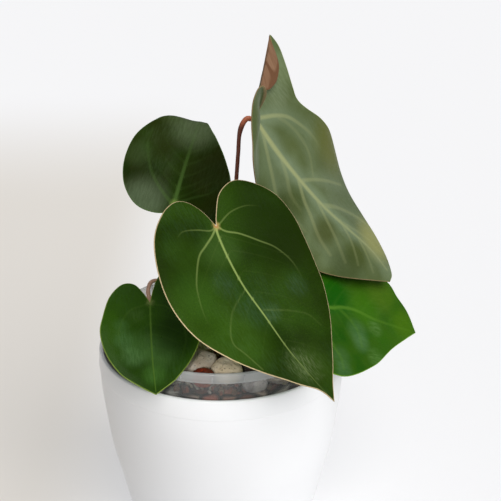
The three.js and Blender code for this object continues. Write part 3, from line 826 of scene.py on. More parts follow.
@dataclass
class Blade:
    """One heart-shaped blade: flat outline, veins, bends and pose in the pot.

    Each side's outline runs from the petiole to the tip as (u, v), or as
    (u, v, rise, middle rise, crest u, crest v, crest rise) where it leaves the flat.
    """

    name: str
    slot: str
    at: Point3
    pose: Point3
    left: list[tuple[float, ...]]
    right: list[tuple[float, ...]]
    finish: LeafFinish
    veins: list[Vein]
    bends: list[Bend] = field(default_factory=list)
    bends_right: list[Bend] = field(default_factory=list)
    sway: float = 0.0
    rows: int = 150
    columns: int = 50
    thickness: float = 0.62
    quilting: float = 0.8  # how far the blade swells between its veins
    quilt_span: float = 9.0  # how far from a vein the swelling is full
    lateral_tone: float = 0.25
    lateral_width: float = 0.7
    lateral_feet: tuple[float, ...] = (0.05, 0.14, 0.25, 0.37, 0.5, 0.63, 0.76)

    CREST = 0.8  # how far out along a vein the crest of a fold lies
    STEPS = 40  # samples between two points of the outline
    SLANT = 0.75  # how far towards the tip the rows run for each step outwards
    FOOT_EASE = 0.08  # these two as shares of the blade's length
    FOOT_START = 0.04
    BOW = 0.1  # how far the rows sag towards the petiole
    SPREAD = 1.35  # how far the slopes of a vein reach, in widths
    EDGE_ROUND = 0.45  # width of the rounded edge
    GROOVE = 0.12  # how deep a strong vein is pressed into the upper side
    KEEL = 0.45  # and how far it stands out below
    LATERAL_REACH = 0.88  # share of the way to the edge that the faint laterals go

    def edge(self, side: list[tuple[float, ...]]) -> np.ndarray:
        """Even samples along one side's outline.

        Args:
            side: the outline's given points.

        Returns:
            Rows of edge u, edge v, rise, middle rise and three crest offsets.
        """
        c = self.CREST
        full = []
        for row in side:
            u, v, w, middle = (*row, 0, 0)[:4]
            crest = (0.0, 0.0, 0.0)
            if len(row) > 4:
                rise = w * (2 * c * c - c) + middle * 4 * c * (1 - c)
                crest = (row[4] - c * u, row[5] - c * v, row[6] - rise)
            full.append((u, v, w, middle, *crest))
        return even(spline(full, self.STEPS), self.rows, 2)

    @staticmethod
    def soft(x: np.ndarray, width: float) -> np.ndarray:
        """A smooth stand-in for max(x, 0)."""
        return 0.5 * (x + np.sqrt(x * x + width * width))

    def feet(self, edge: np.ndarray) -> np.ndarray:
        """Where the veins to each edge sample leave the midrib.

        Args:
            edge: the rows that edge() gave.

        Returns:
            A length from the petiole for each row.
        """
        length = edge[-1, 1]
        start = self.FOOT_START * length
        reach = self.soft(edge[:, 1] - self.SLANT * edge[:, 0], self.FOOT_EASE * length)
        reach = np.maximum.accumulate(np.maximum(reach, start))
        return np.minimum(reach - start, length)

    def columns_at(self) -> np.ndarray:
        """Places across one side from 0 at the midrib to 1 at the edge."""
        close = [0.984, 0.992, 0.9975, 1.0]
        return np.concatenate([np.linspace(0, 0.972, self.columns - 3), close])

    def side(
        self, edge: np.ndarray, feet: np.ndarray, half: Half
    ) -> tuple[np.ndarray, np.ndarray]:
        """One side of the flat blade.

        Args:
            edge: the rows that edge() gave.
            feet: the rows' feet on the midrib.
            half: which side it is.

        Returns:
            Points of the folded blade and of the flat one, by row and column.
        """
        t = self.columns_at()[None, :]
        length = feet[-1]
        foot = feet[:, None]
        u, v, w, middle, cu, cv, cw = (column[:, None] for column in edge.T)
        shift = self.sway * np.sin(np.pi * foot / length) * (1 - t)
        bow = self.BOW * u * np.sin(np.pi * t) * np.minimum(foot / (0.15 * length), 1)
        c = self.CREST
        tent = np.maximum(t / c - self.soft(t / c - (1 - t) / (1 - c), 0.05), 0)
        flat_u = half.value * u * t + shift
        flat_v = foot * (1 - t) + v * t - bow
        rise = w * (2 * t * t - t) + middle * 4 * t * (1 - t) + cw * tent
        folded = np.stack([flat_u + half.value * cu * tent, flat_v + cv * tent, rise], axis=-1)
        return folded, np.stack([flat_u, flat_v], axis=-1)

    def stand(self, points: np.ndarray) -> np.ndarray:
        """Stands the bent blade in the pot.

        Args:
            points: bent points as rows.

        Returns:
            The points in the pot's frame, in millimetres.
        """
        a, e, r = (math.radians(x) for x in self.pose)
        along = np.array([math.cos(a) * math.cos(e), math.sin(a) * math.cos(e), math.sin(e)])
        level = np.array([-math.cos(a) * math.sin(e), -math.sin(a) * math.sin(e), math.cos(e)])
        out = level * math.cos(r) + np.cross(along, level) * math.sin(r)
        across = np.cross(along, out)
        origin = np.array(self.at) + (0, 0, RIM)
        return origin + points[:, :1] * across + points[:, 1:2] * along + points[:, 2:] * out

    def drawn(self, grids: list[np.ndarray], feet: np.ndarray) -> list[tuple[np.ndarray, Vein]]:
        """All veins as flat polylines: the named ones, and faint laterals along the rows.

        Args:
            grids: the flat points of both sides by row and column.
            feet: the rows' feet on the midrib.

        Returns:
            Each polyline with its vein.
        """
        lines = [(spline(vein.course, 6), vein) for vein in self.veins]
        stop = int(self.columns * self.LATERAL_REACH)
        tone = self.lateral_tone
        faint = Vein((), (self.lateral_width, 0.35), (tone, tone * 0.2))
        for grid in grids:
            for share in self.lateral_feet:
                row = int(np.argmin(np.abs(feet - share * feet[-1])))
                lines.append((grid[row, :stop:2], faint))
        return lines

    def fields(
        self, flat: np.ndarray, grids: list[np.ndarray], feet: np.ndarray
    ) -> dict[str, np.ndarray]:
        """What the material and the relief read at each point.

        Args:
            flat: flat points as rows.
            grids: the flat points of both sides by row and column.
            feet: the rows' feet on the midrib.

        Returns:
            Vein nearness, its tone, the distance to the margin, and how deep the valley
            along the veins is.
        """
        nearness = np.zeros(len(flat))
        tone = np.zeros(len(flat))
        valley = np.zeros(len(flat))
        for line, vein in self.drawn(grids, feet):
            apart, where = nearest(flat, line)
            width = vein.width[0] + (vein.width[1] - vein.width[0]) * where
            strength = np.maximum(vein.tone[0] + (vein.tone[1] - vein.tone[0]) * where, 0)
            near = np.clip(1 - apart / (self.SPREAD * width), 0, 1)
            better = near * (0.3 + strength) > nearness * (0.3 + tone)
            nearness = np.where(better, near, nearness)
            tone = np.where(better, strength, tone)
            depth = np.minimum(1.0, 1.6 * strength) * np.exp(-((apart / self.quilt_span) ** 2))
            valley = np.maximum(valley, depth)
        outline = np.vstack([grids[0][:, -1], grids[1][::-1, -1]])
        margin, _ = nearest(flat, outline)
        return {"vein": nearness, "vein_tone": tone, "margin": margin, "valley": valley}

    def build(self) -> Piece:
        """Makes the closed blade with its relief, attributes and material.

        Returns:
            The finished piece.
        """
        edges = [self.edge(self.left), self.edge(self.right)]
        feet = (self.feet(edges[0]) + self.feet(edges[1])) / 2
        feet[-1] = edges[0][-1, 1]
        folded, flats = zip(*(self.side(e, feet, s) for e, s in zip(edges, Half)))
        rows, columns = folded[0].shape[:2]
        index = np.zeros((2, rows, columns), int)
        index[0] = np.arange(rows * columns).reshape(rows, columns)
        index[1] = index[0] + rows * columns
        index[1, :, 0] = index[0, :, 0]
        for end in (0, rows - 1):
            index[:, end, :] = index[0, end, 0]
        points = []
        for grid, extra in zip(folded, ([], self.bends_right)):
            p = grid.reshape(-1, 3)
            for bend in [*extra, *self.bends]:
                p = bend.apply(p)
            points.append(self.stand(p))
        middle = np.vstack(points)
        flat = np.vstack([g.reshape(-1, 2) for g in flats])
        quads = np.vstack([quads_of(index[0]), quads_of(index[1])[:, ::-1]])
        used, quads = np.unique(quads, return_inverse=True)
        quads = quads.reshape(-1, 4)
        middle, flat = middle[used], flat[used]
        fields = self.fields(flat, list(flats), feet)
        shape = self.shell(middle, quads, fields)
        return self.mesh(shape, quads, flat, fields, np.unique(index[:, :, -1]), used)

    def shell(
        self, middle: np.ndarray, quads: np.ndarray, fields: dict[str, np.ndarray]
    ) -> np.ndarray:
        """Upper and lower points of the blade, which meet at its margin.

        Args:
            middle: points of its middle surface.
            quads: its quads.
            fields: what fields() gave.

        Returns:
            The upper points followed by the lower ones.
        """
        normal = np.zeros_like(middle)
        diagonal_a = middle[quads[:, 2]] - middle[quads[:, 0]]
        diagonal_b = middle[quads[:, 3]] - middle[quads[:, 1]]
        face = np.cross(diagonal_a, diagonal_b)
        for k in range(4):
            np.add.at(normal, quads[:, k], face)
        normal /= np.maximum(np.linalg.norm(normal, axis=1, keepdims=True), TINY)
        margin = fields["margin"]
        inner = smoothstep(margin, 0.0, 5.0)
        swell = 1 - fields["valley"]
        ridge = smoothstep(fields["vein"], 0.1, 0.9) * fields["vein_tone"]
        ridge *= smoothstep(margin, 0, 2)
        lift = self.quilting * (swell - 0.5) * inner
        x = np.clip(margin / self.EDGE_ROUND, 0, 1)
        half = self.thickness / 2 * np.sqrt(1 - (1 - x) ** 2)
        top = middle + normal * (lift + half - self.GROOVE * ridge)[:, None]
        under = middle + normal * (lift - half - self.KEEL * ridge)[:, None]
        return np.vstack([top, under])

    def mesh(
        self,
        shape: np.ndarray,
        quads: np.ndarray,
        flat: np.ndarray,
        fields: dict[str, np.ndarray],
        rim: np.ndarray,
        used: np.ndarray,
    ) -> Piece:
        """Joins both faces at the margin and stores what the material reads.

        Args:
            shape: the points that shell() gave.
            quads: the upper side's quads.
            flat: the flat place of each point.
            fields: what fields() gave.
            rim: indices of the margin's points before unused ones were dropped.
            used: indices of the points that are kept.

        Returns:
            The finished piece.
        """
        count = len(flat)
        on_rim = np.isin(used, rim)
        below = np.where(on_rim, np.arange(count), np.arange(count) + count)
        faces = np.vstack([quads, below[quads][:, ::-1]])
        kept, faces = np.unique(faces, return_inverse=True)
        faces = faces.reshape(-1, 4)
        corners = (list(dict.fromkeys(face)) for face in faces.tolist())
        kept_faces = [face for face in corners if len(face) > 2]
        piece = solid(self.name, shape[kept], kept_faces, self.finish.build())
        source = kept % count
        upper = np.where(kept < count, 1.0, 0.0)
        upper[np.isin(kept, np.nonzero(on_rim)[0])] = 0.5
        for label, values in fields.items():
            self.store(piece.data, label, values[source])
        self.store(piece.data, "upper", upper)
        layer = piece.data.uv_layers.new(name="flat")
        ends = np.zeros(len(piece.data.loops), int)
        piece.data.loops.foreach_get("vertex_index", ends)
        layer.data.foreach_set("uv", (flat[source][ends] / 100).ravel())
        return piece

    @staticmethod
    def store(mesh: Mesh, label: str, values: np.ndarray) -> None:
        """Stores one number for each vertex."""
        layer = mesh.attributes.new(label, "FLOAT", "POINT")
        layer.data.foreach_set("value", values.astype(np.float32))


# Stalks.


@dataclass(frozen=True)
class StalkFinish:
    """Colours of one petiole from its foot to its swollen joint."""

    name: str
    foot: str
    shaft: str
    joint: str
    low: float  # height where the foot's colour ends, above the white rim
    high: float  # height where the joint's colour starts

    def build(self) -> Material:
        """Makes the petiole's material.

        Returns:
            The material.
        """
        g = ShaderGraph(self.name)
        place = g.place()
        height = g.axis(place, 2) + g.noise(place, 120, 3) * 0.008 - 0.004
        base = (RIM + self.low) * MM
        top = (RIM + self.high) * MM
        color = g.tints(height.step(base, base + 0.03), self.foot, self.shaft)
        color = g.over(color, height.step(top, top + 0.007), self.joint)
        grain = g.noise(g.place((1, 1, 0.12)), 900, 3, 0.6)
        color = g.over(color, grain.step(0.5, 0.75) * 0.3, self.foot)
        flecks = g.noise(place, 1400, 2).step(0.68, 0.74)
        color = g.over(color, flecks * 0.35, "#d9b08c")
        relief = grain + g.noise(place, 500, 2) * 0.6
        return g.finish(color, 0.42 + grain * 0.2, g.bump(relief, 0.0001, 0.7))


@dataclass
class Stalks:
    """The petioles: a round rod along each one's path, swollen where it meets its blade."""

    sides: int = 22
    foot_radius: float = 1.7
    shaft_radius: float = 1.15
    joint_radius: float = 1.5
    relief: float = 0.00008  # this and the next in metres
    merge: float = 0.000001
    samples: int = 110

    def tree(self) -> GeometryGraph:
        """The tree that turns a chain of points with radii into a rod.

        Returns:
            The tree.
        """
        g = GeometryGraph(
            "stalk",
            {
                "Sides": ("Int", self.sides),
                "Relief": ("Float", self.relief),
                "Stalk Material": ("Material", None),
            },
        )
        curve = g.shape("MeshToCurve", {0: g.given("Geometry")})
        ring = g.shape("CurvePrimitiveCircle", {"Resolution": g.given("Sides"), "Radius": 1.0})
        radius = g.shape("InputNamedAttribute", {"Name": "reach"})
        rod = g.shape("CurveToMesh", {0: curve, 1: ring, "Scale": radius, "Fill Caps": True})
        merged = g.shape("MergeByDistance", {0: rod, "Distance": self.merge})
        wave = (g.noise(g.shape("InputPosition"), 260, 3) - 0.5) * g.given("Relief") * 2.0
        g.close(g.moved(merged, wave), g.given("Stalk Material"))
        return g

    def radii(self, share: np.ndarray) -> np.ndarray:
        """How thick a petiole is along its length.

        Args:
            share: shares of the length, from the foot.

        Returns:
            The radius at each, closed to a small round at the blade.
        """
        slimmer = self.shaft_radius - self.foot_radius
        shaft = self.foot_radius + slimmer * np.minimum(share * 1.5, 1)
        sheathed = self.foot_radius * 0.3 * np.exp(-share * 30)
        swollen = smoothstep(share, 0.87, 0.93)
        radius = shaft + sheathed + (self.joint_radius - shaft) * swollen
        end = np.clip((1 - share) / 0.012, 0, 1)
        return radius * np.sqrt(np.maximum(1 - (1 - end) ** 2, 0.05))

    def build(
        self, name: str, path: list[Point3], finish: StalkFinish, graph: GeometryGraph
    ) -> Piece:
        """Makes one petiole.

        Args:
            name: the piece's name.
            path: the points that it passes, with heights above the white rim.
            finish: its colours.
            graph: the tree from tree().

        Returns:
            The finished piece.
        """
        line = even(spline(path, 20), self.samples, 3)
        share = np.linspace(0, 1, len(line))
        host = bpy.data.meshes.new(name)
        points = (line + (0, 0, RIM)) * MM
        host.from_pydata(points.tolist(), [(i, i + 1) for i in range(len(line) - 1)], [])
        Blade.store(host, "reach", self.radii(share) * MM)
        return graph.grow(host, name, {"Stalk Material": finish.build()})


# Turned pots.


@dataclass
class Turned:
    """A round solid turned from a profile with eased corners."""

    name: str
    profile: list[Point2]
    ease: float = 0.35
    segments: int = 160

    NEARLY_STRAIGHT = 0.98  # a corner whose turn has at least this cosine stays as it is
    ARC = (0, 0.25, 0.5, 0.75, 1)

    def eased(self) -> list[Point2]:
        """Replaces each corner of the profile off the axis by a short arc.

        Returns:
            Radius and height of each point.
        """
        points = [np.array(p, float) for p in self.profile]
        out: list[Point2] = [tuple(points[0])]
        for before, corner, after in zip(points, points[1:], points[2:]):
            back, ahead = before - corner, after - corner
            straight = -(back @ ahead) / (np.linalg.norm(back) * np.linalg.norm(ahead))
            if straight > self.NEARLY_STRAIGHT:
                out.append((float(corner[0]), float(corner[1])))
                continue
            reach = min(self.ease, 0.45 * np.linalg.norm(back), 0.45 * np.linalg.norm(ahead))
            a = corner + back / np.linalg.norm(back) * reach
            b = corner + ahead / np.linalg.norm(ahead) * reach
            for t in self.ARC:
                spot = a * (1 - t) ** 2 + corner * 2 * t * (1 - t) + b * t * t
                out.append((float(spot[0]), float(spot[1])))
        out.append(tuple(points[-1]))
        return out

    def mesh(self) -> Mesh:
        """Turns the profile, with the faces outwards.

        Returns:
            The mesh, closed at the axis.
        """
        shape = bmesh.new()
        rings = []
        for radius, height in self.eased():
            if radius < TINY:
                rings.append([shape.verts.new((0, 0, height * MM))] * self.segments)
                continue
            spots = circle(self.segments, radius, height)
            rings.append([shape.verts.new(Vector(p) * MM) for p in spots])
        for low, high in zip(rings, rings[1:]):
            for i in range(self.segments):
                j = (i + 1) % self.segments
                corners = list(dict.fromkeys((low[i], low[j], high[j], high[i])))
                if len(corners) > 2:
                    shape.faces.new(corners)
        bmesh.ops.recalc_face_normals(shape, faces=shape.faces)
        made = bpy.data.meshes.new(self.name)
        shape.to_mesh(made)
        shape.free()
        made.shade_smooth()
        return made


@dataclass
class Pots:
    """The white outer pot and the clear grow pot in it."""

    base_radius: float = 50.0
    wall: float = 2.4
    floor: float = 3.0
    grow_floor: float = 3.3
    grow_base: float = 50.5
    grow_radius: float = 61.6
    grow_wall: float = 0.9
    collar_radius: float = 64.8
    collar_low: float = RIM + 7.3
    collar_high: float = RIM + 13.3
    ribs: int = 24
    rib_height: float = 3.6
    rib_width: float = 0.9
    rib_phase: float = 0.8  # of one rib's share of the circle, from the front
    drain_holes: int = 8
    drain_radius: float = 3.0
    drain_circle: float = 34.0
    drain_sides: int = 28

    # The white wall's height from the rim and its radius, from the foot up.
    CURVE = (
        (-110, 52.5), (-100, 56.1), (-80, 60.6), (-60, 65.1), (-40, 67.8), (-24, 69.5), (-13, 70.1),
    )
    # The white lip's radius past the wall and its height from the rim.
    LIP = (
        (0.02, -11.9), (0.35, -11.3), (0.1, -2.2), (-0.2, -0.7), (-0.9, 0), (-1.8, 0), (-2.4, -0.8),
    )

    def white(self) -> Piece:
        """The white outer pot.

        Returns:
            The finished piece.
        """
        wall = spline(self.CURVE, 5)
        outside = [(r, RIM + h) for h, r in wall]
        inside = [(r - self.wall, RIM + h) for h, r in wall[::-1]]
        edge = self.CURVE[-1][1]
        lip = [(edge + past, RIM + height) for past, height in self.LIP]
        profile = [
            (0, 0),
            (self.base_radius - 1.5, 0),
            (self.base_radius, 1.2),
            *outside,
            *lip,
            *inside,
            (self.base_radius - 1, self.floor + 2.5),
            (self.base_radius - 3.5, self.floor),
            (0, self.floor),
        ]
        piece = show("white_pot_shell", Turned("white_pot_shell", profile, 0.4).mesh())
        piece.data.materials.append(self.white_finish())
        return piece

    def white_finish(self) -> Material:
        """Glossy white moulded plastic with a very fine orange peel and a little dust.

        Returns:
            The material.
        """
        g = ShaderGraph("white_pot")
        place = g.place()
        dust = g.noise(place, 25, 3, 0.5).step(0.45, 0.85)
        color = g.tints(dust * 0.35, "#eff0f2", "#e9eaeb")
        return g.finish(color, 0.3, g.bump(g.noise(place, 500, 1), 0.00001, 0.4), {"IOR": 1.5})

    def clear(self, finish: Material) -> Piece:
        """The clear grow pot with its rolled collar and drain holes.

        Args:
            finish: its material.

        Returns:
            The finished piece.
        """
        inner = self.grow_radius - self.grow_wall
        base, floor = self.grow_base, self.grow_floor
        low, high, collar = self.collar_low, self.collar_high, self.collar_radius
        profile = [
            (0, floor),
            (base - 4.5, floor),
            (base - 3.7, floor + 4),
            (self.grow_radius - 1, RIM - 25),
            (self.grow_radius, low - 0.6),
            (collar - 0.3, low),
            (collar, low + 0.9),
            (collar - 0.2, high - 0.6),
            (collar - 0.8, high),
            (collar - 1.5, high),
            (collar - 1.9, high - 0.5),
            (collar - 2.2, low + 1.2),
            (inner, low - 0.4),
            (inner - 1, RIM - 25),
            (base - 4.9, floor + 4),
            (base - 5.6, floor + 1.4),
            (0, floor + 1.4),
        ]
        shell = show("grow_pot_turned", Turned("grow_pot_turned", profile, 0.3).mesh())
        drills = show("grow_pot_drills", self.drills())
        cut = shell.modifiers.new("drains", "BOOLEAN")
        cut.operation = "DIFFERENCE"
        cut.solver = "EXACT"
        cut.object = drills
        depsgraph = bpy.context.evaluated_depsgraph_get()
        drilled = shell.evaluated_get(depsgraph)
        mesh = bpy.data.meshes.new_from_object(drilled, depsgraph=depsgraph)
        for used in (shell, drills):
            bpy.data.objects.remove(used)
        mesh.shade_smooth()
        mesh.set_sharp_from_angle(angle=math.radians(40))
        mesh.materials.clear()
        mesh.materials.append(finish)
        return show("grow_pot_shell", mesh)

    def drills(self) -> Mesh:
        """The cutters of the drain holes in the grow pot's floor.

        Returns:
            One mesh of upright rods.
        """
        shape = bmesh.new()
        radius = self.drain_radius * MM
        for spot in [(0.0, 0.0, 0.0), *circle(self.drain_holes, self.drain_circle)]:
            made = bmesh.ops.create_cone(
                shape,
                cap_ends=True,
                segments=self.drain_sides,
                radius1=radius,
                radius2=radius,
                depth=6 * MM,
            )
            up = Vector(spot) + Vector((0, 0, self.grow_floor + 0.7))
            bmesh.ops.translate(shape, verts=made["verts"], vec=up * MM)
        mesh = bpy.data.meshes.new("drills")
        shape.to_mesh(mesh)
        shape.free()
        return mesh

    def rib_ring(self, finish: Material) -> Piece:
        """The small upright ribs round the collar.

        Args:
            finish: their material.

        Returns:
            The finished piece.
        """
        g = GeometryGraph(
            "collar_ribs",
            {
                "Count": ("Int", self.ribs),
                "Ring Radius": ("Float", self.collar_radius * MM),
                "Rib Height": ("Float", self.rib_height * MM),
                "Rib Width": ("Float", self.rib_width * MM),
            },
        )
        count, radius, width = (g.given(x) for x in ("Count", "Ring Radius", "Rib Width"))
        ring = g.shape("MeshCircle", {"Vertices": count, "Radius": radius})
        sides = {0: width, 1: width, 2: g.given("Rib Height")}
        cube = g.shape("MeshCube", {"Size": g.first("ShaderNodeCombineXYZ", None, sides)})
        rib = g.shape("SubdivisionSurface", {0: cube, "Level": 2, "Edge Crease": 0.6})
        facing = {"Vector": g.shape("InputPosition")}
        turn = g.first("FunctionNodeAlignRotationToVector", {"axis": "X"}, facing)
        placed = {"Points": ring, "Instance": rib, "Rotation": turn}
        g.close(g.shape("InstanceOnPoints", placed), finish)
        piece = g.grow(bpy.data.meshes.new("ribs"), "grow_pot_ribs", {})
        phase = 2 * math.pi * (self.rib_phase / self.ribs - 0.25)
        middle = (self.collar_low + self.collar_high) / 2 * MM
        up = Matrix.Translation((0, 0, middle))
        piece.data.transform(up @ Matrix.Rotation(phase, 4, "Z"))
        return piece

    def clear_finish(self) -> Material:
        """Clear moulded plastic: milky at the thick collar, nearly clear in the thin wall.

        Returns:
            The material.
        """
        g = ShaderGraph("clear_grow_pot")
        place = g.place()
        height = g.axis(place, 2)
        collar = height.step((self.collar_low - 1.0) * MM, (self.collar_low + 1.0) * MM)
        haze = g.noise(place, 55, 4, 0.6)
        streak = g.noise(g.place((1, 1, 0.1)), 160, 3)
        middle = (self.collar_low + self.collar_high) / 2 * MM
        edges = ((height - middle) * (height - middle)).step(1.0e-6, 7.5e-6) * collar
        cloudy = haze.step(0.45, 0.8) * 0.06 + streak.step(0.55, 0.75) * 0.03
        alpha = 0.12 + collar * 0.26 + edges * 0.12 + cloudy
        color = g.tints(haze.step(0.4, 0.7), "#cfd2d1", "#b9bcbb")
        relief = g.bump(g.noise(place, 90, 1), 0.0001, 0.4)
        return g.finish(color, 0.12 + haze * 0.16, relief, {"Alpha": alpha, "IOR": 1.49})


# Stones and substrate.


@dataclass(frozen=True)
class StoneFinish:
    """Colours and pores of one kind of stone, with painted shade in the pores."""

    name: str
    body: str
    second: str
    stain: str
    # the pores' colour: painted shade in the pits
    pore_shade: str
    # how strongly the painted shade in the pores shows
    pores: float = 0.5
    relief: float = 0.0005
    pits: float = 0.0004

    def build(self) -> Material:
        """Makes the stone's material.

        Returns:
            The material.
        """
        g = ShaderGraph(self.name)
        place = g.place()
        broad = g.noise(place, 140, 3, 0.6)
        grit = g.noise(place, 1100, 4, 0.7)
        color = g.tints(broad.step(0.36, 0.64), self.body, self.second)
        color = g.over(color, g.noise(place, 75, 3).step(0.5, 0.68) * 0.6, self.stain)
        color = g.over(color, grit.step(0.5, 0.8) * 0.35, self.second)
        pits = g.cells(place, 620).step(0.34, 0.12) * g.noise(place, 300, 1).step(0.42, 0.6)
        # Painted shade: the pits darken towards the pore colour.
        color = g.over(color, pits * self.pores, self.pore_shade)
        flecks = g.noise(place, 2400, 2).step(0.66, 0.72)
        color = g.over(color, flecks * 0.3, "#d9cfc0")
        relief = g.bump(grit * 0.8 - pits * 1.2 + broad, 0.0005, 0.9)
        return g.finish(color, 0.82 + grit * 0.14, relief, {"Specular IOR Level": 0.25})


@dataclass
class Bed:
    """The loose stones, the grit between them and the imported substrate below."""

    merge: float = 0.00001  # these four in metres
    swell: float = 0.0003
    grain: float = 0.0016
    grain_relief: float = 0.0011
    grit_density: float = 60000.0  # grains on a square metre
    grit_radius: float = 58.0
    grit_inner: float = 9.0
    grit_level: float = FILL_TOP + 0.9
    ring_steps: int = 48

    KINDS = {
        finish.name: finish
        for finish in (
            StoneFinish("pumice", "#c3b29c", "#d3c7b8", "#a5957f", "#5e5348", 0.6),
            StoneFinish("cream_pumice", "#f0ddc0", "#dfcbaa", "#f2e6d2", "#9c8666", 0.4),
            StoneFinish(
                "red_lava", "#8c2c0c", "#7c3a20", "#5c1c0b", "#380f06", 0.7, 0.0006, 0.0007
            ),
            StoneFinish(
                "black_lava", "#2a2523", "#413a36", "#54443b", "#0b0908", 0.7, 0.0006, 0.0007
            ),
            StoneFinish(
                "grey_stone", "#b3adac", "#8f8a88", "#c9c2bc", "#5f5b59", 0.5, 0.0004, 0.0003
            ),
        )
    }
    # How much higher these lie than their solids.
    LIFTED = {"red_lava_01": 3.8, "pumice_01": 2.4, "cream_pumice_01": 2.0}
    GRIT = (
        (0.0, "#2b2522"), (0.28, "#6b4a38"), (0.5, "#8a7a66"), (0.66, "#7a3620"), (0.82, "#b9a98f"),
        (1.0, "#9b9894"),
    )
    FILL = (
        (0.0, "#3a2b26"), (0.25, "#a0583f"), (0.45, "#cabba3"), (0.6, "#b04c30"), (0.8, "#e6dccb"),
        (1.0, "#a9abaa"),
    )

    def tree(self) -> GeometryGraph:
        """The tree that turns a plain CAD stone into a weathered one.

        Returns:
            The tree.
        """
        g = GeometryGraph(
            "weathered_stone",
            {
                "Relief": ("Float", 0.0005),
                "Pits": ("Float", 0.0004),
                "Swell": ("Float", self.swell),
                "Seed": ("Float", 0.0),
                "Stone Material": ("Material", None),
            },
        )
        shape = g.shape("MergeByDistance", {0: g.given("Geometry"), "Distance": self.merge})
        shape = g.shape("SubdivideMesh", {0: shape, "Level": 1})
        shape = g.shape("SubdivisionSurface", {0: shape, "Level": 2})
        seed = g.given("Seed")
        shift = g.first("ShaderNodeCombineXYZ", None, {0: seed, 1: seed * 0.7, 2: 0.0})
        inputs = {0: g.shape("InputPosition"), 1: shift}
        spot = g.first("ShaderNodeVectorMath", {"operation": "ADD"}, inputs)
        lumps = (g.noise(spot, 210, 4, 0.62) - 0.5) * g.given("Relief") * 2.6
        hollows = g.cells(spot, 430).step(0.42, 0.1) * g.given("Pits")
        moved = g.moved(shape, lumps - hollows + g.given("Swell"))
        g.close(moved, g.given("Stone Material"))
        return g

    def stones(self) -> None:
        """Makes each loose stone from its CAD solid."""
        graph = self.tree()
        made = {kind: finish.build() for kind, finish in self.KINDS.items()}
        names = sorted(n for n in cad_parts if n[:-3] in self.KINDS)
        for index, name in enumerate(names):
            kind = name[:-3]
            finish = self.KINDS[kind]
            values = {
                "Relief": finish.relief,
                "Pits": finish.pits,
                "Seed": 0.37 * index,
                "Stone Material": made[kind],
            }
            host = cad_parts[name].data.copy()
            host.transform(Matrix.Translation((0, 0, self.LIFTED.get(name, 0.0) * MM)))
            piece = graph.grow(host, name + "_stone", values)
            settle(piece, kind, name)

    def grit(self) -> None:
        """Scatters small grains over the substrate's top, between the loose stones."""
        g = GeometryGraph(
            "grit",
            {
                "Density": ("Float", self.grit_density),
                "Grain Size": ("Float", self.grain),
                "Seed": ("Int", 7),
            },
        )
        spread = {label: g.given(label) for label in ("Density", "Seed")}
        points = g.shape("DistributePointsOnFaces", {0: g.given("Geometry"), **spread})
        grain = g.shape("MeshIcoSphere", {"Radius": g.given("Grain Size"), "Subdivisions": 2})
        turn = g.random((0, 0, 0), (6.28, 6.28, 6.28), 3)
        size = g.random((0.5, 0.5, 0.4), (1.3, 1.2, 0.9), 5)
        placed = {"Points": points, "Instance": grain, "Rotation": turn, "Scale": size}
        one = {2: 0.0, 3: 1.0, "Seed": 11}
        tone = g.node("FunctionNodeRandomValue", {"data_type": "FLOAT"}, one).outputs[1]
        toned = g.first(
            "GeometryNodeStoreNamedAttribute",
            {"data_type": "FLOAT", "domain": "INSTANCE"},
            {0: g.shape("InstanceOnPoints", placed), "Name": "tone", "Value": tone},
        )
        real = g.shape("RealizeInstances", {0: toned})
        lumps = (g.noise(g.shape("InputPosition"), 900, 2) - 0.5) * self.grain_relief
        g.close(g.moved(real, lumps), self.grit_finish())
        piece = g.grow(self.ring(), "grit_between_stones", {})
        settle(piece, "substrate")

    def ring(self) -> Mesh:
        """The flat ring that the grains lie on.

        Returns:
            The mesh.
        """
        count = self.ring_steps
        spots = []
        for radius in (self.grit_inner, self.grit_radius):
            spots += circle(count, radius, self.grit_level)
        faces = [(i, count + i, count + (i + 1) % count, (i + 1) % count) for i in range(count)]
        mesh = bpy.data.meshes.new("grit_ring")
        mesh.from_pydata([tuple(x * MM for x in spot) for spot in spots], [], faces)
        return mesh

    def grit_finish(self) -> Material:
        """Grains in the colours of the stones.

        Returns:
            The material.
        """
        g = ShaderGraph("grit")
        rough = g.noise(g.place(), 1500, 3)
        color = g.ramp(g.attribute("tone"), self.GRIT)
        color = g.over(color, rough.step(0.4, 0.7) * 0.5, "#4a3f36")
        return g.finish(color, 0.9, g.bump(rough, 0.0003, 0.8))

    def packed_finish(self) -> Material:
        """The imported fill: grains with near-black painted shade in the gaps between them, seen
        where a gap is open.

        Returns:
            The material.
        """
        g = ShaderGraph("packed_fill")
        place = g.place()
        wall = g.cells(place, 85, Cell.WALL).step(0.0, 0.25)
        grains = g.ramp(g.cell_shades(place, 85), self.FILL)
        # Painted shade: near black along the walls between the grains.
        color = g.mix(wall, tint("#120e0c"), grains)
        grit = g.noise(place, 1200, 4)
        color = g.over(color, grit.step(0.5, 0.8) * 0.25, "#3a2d25")
        return g.finish(color, 0.92, g.bump(wall * 2.0 + grit, 0.0008, 0.8))

    def root_finish(self) -> Material:
        """Pale felted roots with darker rings.

        Returns:
            The material.
        """
        g = ShaderGraph("root")
        felt = g.noise(g.place(), 1500, 3, 0.7)
        bands = g.noise(g.place((0.3, 0.3, 1)), 260, 2)
        color = g.tints(bands.step(0.42, 0.65), "#cbb88f", "#9c8459")
        color = g.over(color, felt.step(0.55, 0.75) * 0.5, "#e3d8bb")
        return g.finish(color, 0.85, g.bump(felt, 0.0002, 0.8))

    def dress_nodes(self) -> None:
        """Gives the hidden CAD solids that stay their materials."""
        packed, root = self.packed_finish(), self.root_finish()
        for name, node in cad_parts.items():
            if name == "packed_substrate":
                node.material_slots[0].material = packed
            elif name.startswith("root_"):
                node.material_slots[0].material = root


# The crown.


